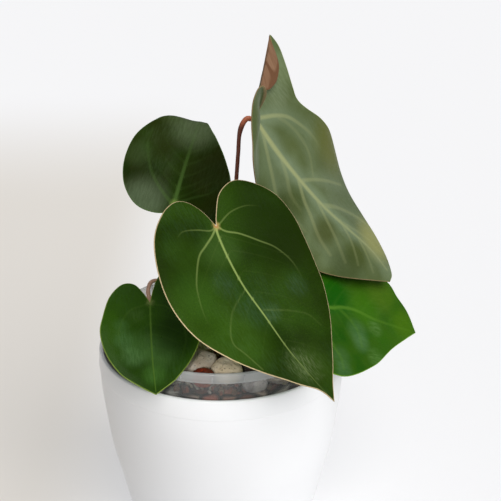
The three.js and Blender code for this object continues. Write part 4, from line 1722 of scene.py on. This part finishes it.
@dataclass
class Crown:
    """The short stem with its scars and the dry sheaths at its foot."""

    radius: float = 6.2
    top: float = RIM + 12
    bottom: float = FILL_TOP - 14
    sides: int = 56
    rings: int = 70
    sheath_thickness: float = 0.5
    sheath_foot: float = FILL_TOP + 1.7
    sheath_rows: int = 30
    sheath_columns: int = 26

    # Angle of the middle, half the width at the foot (both in degrees) and the height.
    SHEATHS = {"front": (-100, 46, 17), "right": (20, 40, 12.75), "back": (140, 46, 15.3)}

    def stem(self) -> Piece:
        """The stem: knuckled, scarred and domed at its top.

        Returns:
            The finished piece.
        """
        around = np.linspace(0, 2 * np.pi, self.sides, endpoint=False)[None, :]
        t = np.linspace(0, 1, self.rings)[:, None]
        knuckle = 0.35 * np.sin(4.5 * np.pi * t + around)
        scars = -0.35 * np.exp(-(((t * 9 + 0.15 * np.sin(around)) % 1 - 0.5) ** 2) / 0.004)
        fibres = 0.12 * np.sin(23 * around + 5 * np.sin(9 * t)) * np.sin(40 * t + 3 * around)
        shoulder = np.sqrt(np.maximum(1 - smoothstep(t, 0.93, 1.0) ** 2 * 0.75, 0.05))
        radius = self.radius * (0.82 + 0.18 * np.sqrt(t)) + knuckle + scars + fibres - 0.15
        radius = radius * shoulder
        height = self.bottom + (self.top - self.bottom) * t + 0 * around
        grid = np.stack([radius * np.cos(around), radius * np.sin(around), height], axis=-1)
        spots = np.vstack([grid.reshape(-1, 3), [(0, 0, self.bottom)], [(0, 0, self.top)]])
        index = np.arange(self.rings * self.sides).reshape(self.rings, self.sides)
        ring = np.hstack([index, index[:, :1]])
        faces = quads_of(ring).tolist()
        faces += [(b, a, len(spots) - 2) for a, b in zip(ring[0], ring[0, 1:])]
        faces += [(a, b, len(spots) - 1) for a, b in zip(ring[-1], ring[-1, 1:])]
        return solid("crown_stem", spots, faces, self.bark())

    def bark(self) -> Material:
        """Brown-green bark with pale scars.

        Returns:
            The material.
        """
        g = ShaderGraph("stem_bark")
        place = g.place()
        patches = g.noise(place, 180, 4, 0.6)
        rings = g.noise(g.place((0.2, 0.2, 1)), 420, 3)
        color = g.tints(patches.step(0.4, 0.62), "#5c5a32", "#6b4f33")
        color = g.over(color, rings.step(0.55, 0.7) * 0.6, "#a08a62")
        grit = g.noise(place, 1300, 3)
        color = g.over(color, grit.step(0.55, 0.75) * 0.4, "#2f2416")
        return g.finish(color, 0.8, g.bump(rings + grit, 0.0004, 0.8))

    def papery(self) -> Material:
        """Dry papery sheath with lengthwise fibres.

        Returns:
            The material.
        """
        g = ShaderGraph("dry_sheath")
        place = g.place()
        fibres = g.noise(g.place((1, 1, 0.06)), 1300, 3, 0.6)
        blotch = g.noise(place, 160, 3)
        color = g.tints(fibres.step(0.42, 0.62), "#7c5c36", "#b8945f")
        color = g.over(color, blotch.step(0.5, 0.7) * 0.6, "#5a3f24")
        return g.finish(color, 0.78, g.bump(fibres, 0.0003, 0.9))

    def sheath(
        self, name: str, angle: float, spread: float, height: float, finish: Material
    ) -> Piece:
        """One dry sheath that wraps part of the stem's foot.

        Args:
            name: the piece's name.
            angle: where its middle is, in degrees.
            spread: half of its width at the foot, in degrees.
            height: its height.
            finish: its material.

        Returns:
            The finished piece.
        """
        rows, columns = self.sheath_rows, self.sheath_columns
        t = np.linspace(0, 1, rows)[:, None]
        s = np.linspace(-1, 1, columns)[None, :]
        half = math.radians(spread) * np.sqrt(np.maximum(1 - t * t * 0.97, 0.02))
        around = math.radians(angle) + half * s
        torn = 0.09 * t * (0.5 + 0.5 * np.sin(9 * s + angle)) * (1 - s * s)
        fray = 1 - torn - 0.05 * t * np.abs(s)
        ripple = 0.1 * np.sin(14 * s + 3 * t + angle) * t
        radius = self.radius + 0.65 + 1.6 * t * t + 0.1 + ripple
        level = self.sheath_foot + height * t * fray
        faces_at = []
        for offset in (self.sheath_thickness, 0.0):
            r = radius + offset * (1 - 0.5 * t)
            x, y = r * np.cos(around), r * np.sin(around)
            faces_at.append(np.stack([x, y, level + 0 * s], axis=-1).reshape(-1, 3))
        spots = np.vstack(faces_at)
        index = np.arange(rows * columns).reshape(rows, columns)
        outer = quads_of(index)
        size = rows * columns
        rim = np.concatenate([index[0], index[1:, -1], index[-1, -2::-1], index[-2:0:-1, 0]])
        after = np.roll(rim, -1)
        band = np.stack([after, rim, rim + size, after + size], -1)
        faces = np.vstack([outer, outer[:, ::-1] + size, band])
        piece = solid(name, spots, faces.tolist(), finish)
        piece.data.set_sharp_from_angle(angle=math.radians(50))
        return piece

    def build(self) -> None:
        """Makes the stem and its three sheaths."""
        settle(self.stem(), "stem_bark", "stem")
        paper = self.papery()
        for part, (angle, spread, height) in self.SHEATHS.items():
            piece = self.sheath("papery_sheath_" + part, angle, spread, height, paper)
            settle(piece, "dry_sheath", "dry_sheath_" + part)


# The plant's own measures.

DARK = LeafFinish(
    name="leaf_dark_front",
    dark="#1a2e02",
    light="#29450a",
    patch="#27350a",
    sheen_and_halo="#48664a",
    vein="#8a9e58",
    margin="#c9b48c",
    junction="#ae9a5c",
    sinus="#a8603c",
    under="#5f7f40",
    under_deep="#4b6b30",
    patches=0.2,
    painted_sheen=0.1,
    speckle=0.8,
    # The first four, grey-green spots are painted sheen, reflections on the gloss; the rest make
    # parts of the blade darker or lighter green.
    spots=(
        Spot((15.9, 31.0), 12, "#4a6650", 0.22),
        Spot((9.0, 50.0), 15, "#42604a", 0.22),
        Spot((-1.6, 54.0), 8, "#56745a", 0.22),
        Spot((-25.0, 47.0), 9, "#465f4e", 0.2),
        Spot((-38.0, 24.0), 22, "#1b2802", 0.6, 0.2),
        Spot((4.0, 12.0), 16, "#3d5a24", 0.5, 0.3),
        Spot((13.0, 14.0), 14, "#3d5a24", 0.4, 0.3),
        Spot((30.0, 8.0), 16, "#304c12", 0.4, 0.3),
        Spot((38.0, 30.0), 20, "#375a1c", 0.4, 0.3),
        Spot((27.0, 62.0), 26, "#3f6418", 0.35, 0.2),
        Spot((-32.0, 12.0), 34, "#172801", 0.75, 0.1),
        Spot((-4.0, 88.0), 18, "#3f5c1a", 0.4, 0.3),
    ),
    scuff=(0.0, 0.86, 0.13),
)
SHADED = LeafFinish(
    name="leaf_dark_back",
    dark="#172703",
    light="#233708",
    patch="#1f2602",
    sheen_and_halo="#4c603c",
    vein="#4d6c31",
    margin="#4f6b34",
    junction="#69813c",
    under="#5a7540",
    under_deep="#486331",
    patches=0.7,
    painted_sheen=0.15,
    # The first four, pale grey-green spots are painted sheen, reflections on the gloss; the last is
    # a darker brownish patch.
    spots=(
        Spot((0.0, 52.0), 22, "#5f6e50", 0.6, 0.2),
        Spot((-18.0, 58.0), 12, "#54663e", 0.5, 0.4),
        Spot((-30.0, 26.0), 12, "#465d33", 0.35, 0.3),
        Spot((-18.0, -3.0), 20, "#66775a", 0.55, 0.2),
        Spot((14.0, 24.0), 20, "#20260a", 0.6, 0.1),
    ),
)
YOUNG = LeafFinish(
    name="leaf_dark_low",
    dark="#213d07",
    light="#315609",
    patch="#223b06",
    sheen_and_halo="#4b7048",
    vein="#56782a",
    margin="#82983c",
    junction="#6b7c40",
    under="#5f8540",
    under_deep="#4b6e30",
    patches=0.35,
    painted_sheen=0.12,
    roughness=0.3,
    gloss=0.12,
    # The first four spots are painted sheen, reflections on the gloss; the next three make parts
    # lighter green and the last darker.
    spots=(
        Spot((15.2, 26.0), 8, "#4f7846", 0.45, 0.5),
        Spot((16.5, 17.0), 6, "#466c3c", 0.4, 0.5),
        Spot((10.5, 35.0), 9, "#5f8850", 0.5, 0.5),
        Spot((-4.0, 32.0), 14, "#547e3c", 0.5, 0.2),
        Spot((6.0, 28.0), 12, "#4c7438", 0.4, 0.3),
        Spot((0.0, 46.0), 9, "#4c7a30", 0.5, 0.4),
        Spot((7.9, 9.0), 7, "#4a6a2c", 0.45),
        Spot((-13.0, 24.0), 20, "#122700", 0.75, 0.1),
    ),
)
BRIGHT = LeafFinish(
    name="leaf_bright",
    dark="#1b4903",
    light="#2f5a08",
    patch="#35560c",
    sheen_and_halo="#4f7540",
    vein="#5f8a2c",
    margin="#6f9630",
    junction="#8a9a4a",
    under="#6a9040",
    under_deep="#567a30",
    patches=0.6,
    painted_sheen=0.15,
    roughness=0.34,
    gloss=0.08,
    halo=0.1,
    # The sixth to the ninth spots, in grey-green, are painted sheen, reflections on the gloss; the
    # others make parts darker or lighter green.
    spots=(
        Spot((-9.0, 20.0), 18, "#0a4c00", 0.9, 0.1),
        Spot((-3.0, 71.0), 14, "#42690a", 0.7, 0.2),
        Spot((-6.0, 42.0), 16, "#3a6a06", 0.6, 0.1),
        Spot((20.0, 55.0), 16, "#24500a", 0.5, 0.2),
        Spot((-19.0, 56.0), 16, "#4a6a14", 0.6, 0.2),
        Spot((10.0, 35.5), 10, "#4f7448", 0.4, 0.3),
        Spot((17.0, 37.4), 8, "#547850", 0.4, 0.3),
        Spot((29.0, 22.0), 9, "#4a6c44", 0.35, 0.3),
        Spot((37.0, 23.5), 8, "#50724c", 0.35, 0.3),
        Spot((5.0, 48.5), 7, "#587c40", 0.5),
        Spot((24.0, 47.0), 8, "#567c3c", 0.5),
    ),
)
NEW = LeafFinish(
    name="leaf_new",
    dark="#4c5a37",
    light="#5d6b46",
    patch="#3f4a18",
    sheen_and_halo="#75856a",
    vein="#93996a",
    margin="#84714e",
    junction="#a8744f",
    under="#86674f",
    under_deep="#664630",
    under_vein=0.15,
    patches=0.6,
    painted_sheen=0.15,
    roughness=0.5,
    gloss=0.1,
    sheen=0.2,
    halo=0.6,
    speckle=0.3,
    right_margin="#7f8546",
    # The third, fourth and last spots, in pale grey-green, are painted sheen, reflections on the
    # gloss; the others are darker olive patches.
    spots=(
        Spot((-44.0, 46.0), 26, "#4f5510", 1.0, 0.05),
        Spot((-9.0, 26.0), 10, "#4a5424", 0.4, 0.15),
        Spot((-36.0, -10.0), 16, "#74825e", 0.6, 0.2),
        Spot((-18.0, 104.0), 20, "#858750", 0.9, 0.1),
        Spot((11.0, 74.0), 12, "#39410e", 0.8, 0.15),
        Spot((13.0, 50.0), 13, "#364312", 0.8, 0.15),
        Spot((6.0, 98.0), 12, "#3c4712", 0.8, 0.15),
        Spot((16.0, 98.0), 16, "#36431c", 0.8, 0.2),
        Spot((-22.0, 0.0), 14, "#7d8a6d", 0.4, 0.4),
    ),
)

FOLD = (
    Bend((3, 0), 0, 40, 8),
    Bend((-3, 0), 180, 40, 10),
)


def leaves() -> list[Blade]:
    """The five blades with their outlines, veins and poses.

    Returns:
        The blades, front one first.
    """
    front = Blade(
        name="front_blade",
        slot="leaf_dark",
        at=(-1.4, -32.6, 83.8),
        pose=(-45, -43.5, 0),
        left=[
            (0, 0), (3, -10), (9, -17.5), (17.5, -19.5), (29.5, -14.5), (42, -3), (51, 15.5),
            (54, 33.5), (50.2, 51), (39, 66.5), (25.5, 79.7), (15.3, 88.6), (9, 94.8), (3.4, 99.7),
            (1, 104), (0, 111),
        ],
        right=[
            (0, 0), (4, -6), (13.5, -16.5), (26.5, -20.5), (38.5, -14.5), (47, -4), (49.5, 10),
            (48, 23.5), (45, 39), (41, 54), (32.5, 71.5), (19.5, 89.5), (8, 102), (0, 111),
        ],
        finish=DARK,
        veins=[
            Vein(((0, 0), (2, 5), (4.4, 20), (5.2, 36), (3.4, 54)), (1.15, 0.7), (1.0, 0.85)),
            Vein(((3.4, 54), (2, 72), (0.4, 86)), (0.7, 0.45), (0.85, 0.3)),
            Vein(((0.4, 86), (0, 105)), (0.5, 0.5), (0.3, 0.1)),
            Vein(((0.3, 0.4), (5.8, 4.4), (14, 8.6), (21.7, 12.9), (30.9, 23.4), (35.2, 30.8),
                  (39, 43), (39, 56)), (0.85, 0.6), (0.72, -0.06)),
            Vein(((-0.3, 0.4), (-4, 4.6), (-11.1, 8.7), (-20, 16.6), (-26.5, 23), (-30.8, 32.5),
                  (-31.2, 42.2), (-29.6, 49.4)), (0.85, 0.6), (0.68, -0.08)),
            Vein(((0.3, 0), (4.7, 1.4), (14, -1.4), (22.4, -2.7), (29, 0)),
                 (0.75, 0.5), (0.45, 0.0)),
            Vein(((-0.3, 0), (-3.1, -0.6), (-12.9, -4.2), (-23.9, -4.5), (-33, -1)),
                 (0.75, 0.5), (0.42, 0.0)),
            Vein(((5.2, 37.5), (13, 41), (21.5, 45.9), (29, 54), (32, 61), (28.5, 68.3),
                  (24, 78.8)), (0.75, 0.7), (0.1, 0.16)),
            Vein(((2, 51), (-5, 54), (-12.5, 57.4), (-21.2, 63.2), (-24.8, 71)),
                 (0.9, 0.8), (0.12, 0.04)),
        ],
        bends=[Bend((3, 0), 0, 70, 3), Bend((-3, 0), 180, 70, 3), Bend((0, 74), 90, 88, 18)],
        rows=220,
        columns=76,
        quilt_span=9,
        lateral_tone=0.03,
    )
    upper_right = Blade(
        name="upper_right_blade",
        slot="leaf_new",
        at=(18.8, 20, 126.6),
        pose=(-1.1, -54.4, 31.9),
        left=[
            (0, 0, 0, 0), (0.8, -3.3, 7.2, 4), (1.6, -6.1, 13.4, 7), (2.6, -8.8, 18.4, 9),
            (4.2, -12.3, 22.4, 11), (6.2, -15.5, 24.6, 12.5), (8.6, -17, 24.6, 13.4),
            (11.5, -16, 22.4, 13.6), (15.5, -12, 18.6, 13.2), (20.3, -4, 14, 12), (24.5, 5, 10, 9),
            (28.2, 13.3, 5.8, 4.9), (24.5, 27.3, -6.6, -2.3), (26.3, 37.7, -11.5, -4.8),
            (28.3, 49.9, -14.2, -6.1), (29.2, 62.5, -15.2, -6.6), (33.1, 74.0, -10.6, -4.3),
            (29.7, 86.3, -7.5, -2.8), (23.7, 96.7, -5.1, -1.5), (17.4, 105.6, -2.0, 0.0),
            (8.2, 115.6, -1, 0), (0, 124.6, 0, 0),
        ],
        right=[
            (0, 0), (4.1, -3.3), (8.3, -6), (11.9, -7.5, 1, 0.3),
            (14.8, -7.5, 3.2, 0.6, 16, -10.2, 1.4), (16.6, -6.1, 4, 0.8, 18.2, -11.6, 2),
            (19.5, -5.7, 4.5, 0.8, 21.8, -13.9, 2.2), (25.4, -6.5, 4.5, 0.8, 27, -16.8, 2.2),
            (32.1, -10.9, 4.5, 0.8, 32.7, -20, 2.1), (36.3, -16, 3.5, 0.6, 36.9, -22.3, 1.8),
            (39.4, -21, 2, 0.4, 39.5, -24.1, 1.2), (43.9, -26.6, 0, 0, 41.5, -25.2, 0.4),
            (44.8, -21), (43.8, -15.4), (40, -5.8), (35.5, 4), (32.8, 11.4), (35.4, 19.8),
            (42.8, 32), (47.2, 42.8), (46.5, 56.5), (41.2, 68.2), (34, 79), (28.9, 92.2),
            (23.7, 105.2), (15.5, 116.6), (6.2, 123.2), (0, 124.6),
        ],
        finish=NEW,
        veins=[
            Vein(((0, 0), (1.2, 20), (1.4, 44), (0, 66), (-3.5, 86), (-7, 104), (-5, 119)),
                 (2.0, 1.2), (0.95, 0.3)),
            Vein(((-0.5, 0.5), (-4.3, 3), (-13, 8.1), (-19.6, 14.1), (-24.1, 23), (-28, 32.8),
                  (-29.5, 42), (-27.4, 55)), (1.8, 1.4), (0.75, -0.1)),
            Vein(((-14, 10), (-17, 17.9), (-18.8, 28), (-17.5, 39.3), (-9.6, 48.6)),
                 (1.7, 1.5), (0.14, 0.12)),
            Vein(((0.5, 45), (-6, 49.3), (-17.6, 57.6), (-31.9, 68.9)), (1.7, 1.4), (0.38, 0.2)),
            Vein(((0, 64), (-12.9, 76.6), (-22.5, 90.4), (-24.7, 102.6), (-19.9, 110.7)),
                 (2, 1.6), (0.3, 0.14)),
            Vein(((-3, 80), (-11.8, 97.6), (-13, 112)), (1.6, 1.4), (0.24, 0.1)),
            Vein(((0.5, 0.5), (1.6, 9.2), (5.8, 17.9), (12.1, 31.8), (19, 48), (20, 66)),
                 (1.6, 1.3), (0.45, 0.1)),
            Vein(((1.2, 26), (6, 36), (11.9, 45.6), (14, 56)), (1.5, 1.3), (0.28, 0.06)),
            Vein(((1.4, 42), (7.9, 53.1), (11.1, 61.6), (16.3, 74), (18.3, 85.6)),
                 (1.6, 1.4), (0.4, 0.15)),
            Vein(((1, 59), (4.7, 69.4), (8.8, 81.2), (15, 95)), (1.5, 1.3), (0.32, 0.12)),
            Vein(((-3, 78), (1.6, 89.5), (9.9, 101.9)), (1.5, 1.3), (0.3, 0.12)),
            Vein(((-5, 93), (-0.3, 103.1), (5, 112.2)), (1.4, 1.2), (0.24, 0.1)),
        ],
        bends_right=[Bend((-2, 0), 180, 30, 10, 1, (10, 75, -18))],
        bends=[Bend((0, 0), 90, 900, 8)],
        rows=230,
        columns=66,
        quilting=0.7,
        quilt_span=6,
        lateral_feet=(),
    )
    back_left = Blade(
        name="back_left_blade",
        slot="leaf_dark",
        at=(-26.5, 18, 77.1),
        pose=(70, 40, 4),
        left=[
            (0, 0), (4, -9), (13, -15), (23, -14), (31.5, -7), (33.4, 3), (31.4, 12), (28.6, 20),
            (24.6, 27.4), (19.4, 35.7), (12.2, 45.5), (7.6, 50.8), (3.8, 56), (1.4, 61), (0, 68),
        ],
        right=[
            (0, 0), (4, -7), (15, -8), (24, -4), (32, 6), (36, 20), (35, 36), (28.6, 47.8),
            (20.4, 54.6), (13.5, 57.4), (7.2, 59.2), (2.8, 61.5), (0, 68),
        ],
        finish=SHADED,
        veins=[
            Vein(((0, 0), (-0.5, 12), (-0.9, 26.5), (-0.9, 39), (-1, 58)), (1.8, 1.2), (0.75, 0.0)),
            Vein(((-0.5, 0.3), (-4, 1.8), (-12.3, 9.1), (-19.4, 17.9), (-24.4, 28.7),
                  (-26.5, 37.8), (-25, 50)), (1.6, 1.2), (0.35, 0.0)),
            Vein(((0.5, 0.3), (10.7, 4.9), (19.5, 8.3), (25, 14)), (1.4, 1), (0.2, 0.0)),
        ],
        bends=[*FOLD, Bend((0, 50), 90, 8, 85, -1)],
        lateral_tone=0.07,
        lateral_width=1.6,
    )
    lower_left = Blade(
        name="lower_left_blade",
        slot="leaf_dark",
        at=(-38.25, -23.8, 35.1),
        pose=(-83, -21, 0),
        left=[
            (0, 0), (3, -7), (8, -14), (15, -13), (22, -3), (26, 11), (28, 22), (25, 35), (18, 46),
            (8, 53), (0, 58),
        ],
        right=[
            (0, 0), (2, -9), (5, -18), (10, -24), (18, -20), (26, -6), (29, 10), (27, 24), (21, 38),
            (12, 49), (4, 55), (0, 58),
        ],
        finish=YOUNG,
        veins=[
            Vein(((0, 0), (0.6, 22), (0.6, 40), (0, 56)), (0.75, 0.45), (0.85, 0.5)),
            Vein(((0.5, 0.5), (11.1, 6.2), (17.1, 17.6), (18, 26.1), (15.5, 36)),
                 (1.0, 0.8), (0.2, 0.06)),
            Vein(((-0.5, 0.5), (-10, 5.5), (-16, 16), (-18, 27), (-15, 38)),
                 (1.0, 0.8), (0.18, 0.05)),
        ],
        bends=[Bend((3, 0), 0, 40, 12), Bend((-3, 0), 180, 40, 12), Bend((0, 8), 90, 60, 12, -1)],
        quilt_span=7,
        lateral_tone=0.05,
        lateral_width=1.0,
    )
    lower_right = Blade(
        name="lower_right_blade",
        slot="leaf_bright",
        at=(45.9, -20.5, 34.5),
        pose=(22.4, -25.2, 40),
        left=[
            (0, 0), (4, -9), (12, -16), (22, -14), (33, -4), (39, 8), (40.6, 19), (40, 25),
            (37, 32.5), (32, 41), (26, 49.3), (15.2, 60), (6, 71.5), (0, 79.6),
        ],
        right=[
            (0, 0), (4, -8), (11, -13), (20, -11), (29, 0), (36, 16), (38, 32), (36, 48),
            (28.7, 62.7), (20.9, 68.4), (12.4, 75), (0, 79.6),
        ],
        finish=BRIGHT,
        veins=[
            Vein(((0, 0), (-0.6, 17.9), (-2.8, 25.7), (-3.4, 35.7), (-0.9, 49.6), (-0.1, 64),
                  (0.2, 74)), (1.7, 1.2), (0.6, 0.05)),
            Vein(((-1.5, 24), (1.4, 28.1), (5.3, 32.5), (10.8, 36.2), (19.1, 37.7)),
                 (1.8, 1.4), (0.2, 0.12)),
            Vein(((2, 3), (14, 12), (24.9, 18.9), (29, 22), (36, 23.4)), (1.8, 1.4), (0.25, 0.12)),
        ],
        sway=-4,
        lateral_tone=0.05,
        lateral_width=1.6,
    )
    return [front, upper_right, back_left, lower_left, lower_right]


TAN = StalkFinish("petiole_tan", "#7d6a3c", "#8f8050", "#a58a5e", 20, 70)
# Points above the white rim, the finish and the slot of each petiole.
STALKS: dict[str, tuple[list[Point3], StalkFinish, str]] = {
    "front": (
        [(-1.0, -3.9, 12.3), (-1.05, -4.1, 18), (-2, -7, 30), (-5, -15, 62)],
        TAN,
        "petiole_tan",
    ),
    "upper_right": (
        [
            (3.4, 0.6, 12.3), (3.57, 0.63, 18), (6, 11, 48), (8.2, 17, 79), (8.7, 18.6, 91),
            (9.8, 19, 107), (10.4, 19, 116.5), (12, 19.2, 122.6), (14.6, 19.8, 126),
        ],
        StalkFinish("petiole_red", "#8a6a4a", "#66301c", "#c4704e", 30, 119),
        "petiole_red",
    ),
    "back_left": (
        [(-2.6, 3.4, 12.3), (-2.7, 3.6, 18), (-10, 8, 32), (-22, 12, 58)],
        TAN,
        "petiole_tan",
    ),
    "lower_left": (
        [
            (-4.4, -1.0, 12.3), (-4.6, -1.05, 18), (-15, -2, 27), (-29, -3.5, 37),
            (-37.3, -8.5, 41), (-39.7, -15.5, 39.3),
        ],
        StalkFinish("petiole_pink", "#9a7c56", "#b58d76", "#b8917c", 8, 33),
        "petiole_tan",
    ),
    "lower_right": (
        [(3.1, -3.3, 12.3), (3.25, -3.45, 18), (13, -10, 32), (27, -19, 42)],
        TAN,
        "petiole_tan",
    ),
}
# How far behind its end a petiole starts to come in, and how far below it.
COME_IN = {"front": (9, 4), "back_left": (8, 3), "lower_left": (4, 0.6), "lower_right": (8, 3)}
DROP = 2.05  # how far below the blade's middle surface a petiole ends


def path_end(blade: Blade, part: str) -> list[Point3]:
    """The last points of a petiole, which comes in below its blade.

    Args:
        blade: the blade that it carries.
        part: the leaf's name.

    Returns:
        Points with heights above the white rim.
    """
    marks = [(0.0, 0.5, -DROP)]
    if part in COME_IN:
        back, under = COME_IN[part]
        marks.insert(0, (0.0, -back, -DROP - under))
    ends = blade.stand(np.array(marks)) - (0, 0, RIM)
    return [tuple(row) for row in ends.tolist()]


# The studio.


class Lamp(Enum):
    """The kinds of light in the studio."""

    SUN = "SUN"
    SPOT = "SPOT"


@dataclass
class Studio:
    """A pale floor, soft lights and the photo's camera."""

    camera_at: Point3 = (0.0166, -0.6048, 0.4351)
    camera_pitch: float = 66.63
    lens: float = 85.0
    sky: float = 0.2
    sun_from: Point3 = (0.58, -0.83, 1.15)
    sun_power: float = 3.0
    sun_angle: float = 58.0
    fill_at: Point3 = (-0.09, -0.6, 0.4)
    fill_aim: Point3 = (-0.004, -0.046, 0.132)
    fill_power: float = 7.5
    fill_cone: float = 8.0
    fill_size: float = 0.03
    floor_radius: float = 9.0
    floor_level: float = -0.0004
    # how strongly the floor glows: painted light that lightens the shadows on it
    glow: float = 0.515

    @staticmethod
    def lamp(kind: Lamp, settings: dict[str, Any], back: Vector) -> Piece:
        """Adds one light.

        Args:
            kind: what kind it is.
            settings: its other settings by name.
            back: the direction from what it lights back to it.

        Returns:
            The light.
        """
        data = bpy.data.lights.new("studio_" + kind.name.lower(), kind.value)
        for name, value in settings.items():
            setattr(data, name, value)
        lamp = bpy.data.objects.new(data.name, data)
        lamp.rotation_euler = back.to_track_quat("Z", "Y").to_euler()
        bpy.context.scene.collection.objects.link(lamp)
        return lamp

    def lights(self) -> None:
        """Adds the broad soft light from the right, and the small one on the stones."""
        sun = {
            "energy": self.sun_power,
            "angle": math.radians(self.sun_angle),
            "color": tint("#fffdfa")[:3],
        }
        self.lamp(Lamp.SUN, sun, Vector(self.sun_from))
        fill = {
            "energy": self.fill_power,
            "spot_size": math.radians(self.fill_cone),
            "spot_blend": 1.0,
            "shadow_soft_size": self.fill_size,
        }
        back = Vector(self.fill_at) - Vector(self.fill_aim)
        self.lamp(Lamp.SPOT, fill, back).location = self.fill_at

    def floor(self) -> Piece:
        """A wide floor under the pot that glows, painted light that lightens the shadows on it,
        with painted shade towards its left.

        Returns:
            The floor.
        """
        shape = bmesh.new()
        bmesh.ops.create_circle(shape, cap_ends=True, segments=96, radius=self.floor_radius)
        mesh = bpy.data.meshes.new("studio_floor")
        shape.to_mesh(mesh)
        shape.free()
        g = ShaderGraph("studio_floor")
        place = g.place()
        # Painted shade: the floor is darker to the left of the pot, fading out far behind it.
        shade = g.axis(place, 0).step(-0.03, -0.13) * g.axis(place, 1).step(0.95, 0.5)
        color = g.tints(shade, "#b7b7b8", "#a6a29c")
        # The floor glows: painted light that lightens the shadows on it, dimmer where the painted
        # shade is.
        glow = {
            "Emission Color": g.tints(shade, "#fbfcff", "#e3e0dc"),
            "Emission Strength": self.glow,
            "Specular IOR Level": 0.2,
        }
        mesh.materials.append(g.finish(color, 0.9, None, glow))
        floor = show("studio_floor", mesh)
        floor.location = (0, 0, self.floor_level)
        return floor

    def build(self) -> None:
        """Sets the stage, the lights and the camera."""
        scene = bpy.context.scene
        scene.view_settings.view_transform = "Standard"
        world = bpy.data.worlds.new("studio")
        world.use_nodes = True
        sky = world.node_tree.nodes["Background"].inputs
        sky["Color"].default_value = tint("#f4f6fa")
        sky["Strength"].default_value = self.sky
        scene.world = world
        self.lights()
        self.floor()
        data = bpy.data.cameras.new("photo_camera")
        data.lens = self.lens
        camera = bpy.data.objects.new("photo_camera", data)
        camera.location = self.camera_at
        camera.rotation_euler = (math.radians(self.camera_pitch), 0, 0)
        scene.collection.objects.link(camera)
        scene.camera = camera


def main() -> None:
    """Builds every piece in order and reports each one."""
    logging.basicConfig(level=logging.INFO, format="%(name)s %(message)s")
    Studio().build()
    pots = Pots()
    settle(pots.white(), "white_plastic", "outer_pot")
    clear = pots.clear_finish()
    settle(pots.clear(clear), "clear_plastic", "clear_grow_pot")
    settle(pots.rib_ring(clear), "clear_plastic")
    bed = Bed()
    bed.stones()
    bed.grit()
    bed.dress_nodes()
    Crown().build()
    stalks = Stalks()
    rods = stalks.tree()
    for blade in leaves():
        part = blade.name.removesuffix("_blade")
        settle(blade.build(), blade.slot, "leaf_" + part)
        start, finish, slot = STALKS[part]
        path = [*start, *path_end(blade, part)]
        settle(stalks.build(part + "_stalk", path, finish, rods), slot, "petiole_" + part)


if __name__ == "__main__":
    main()
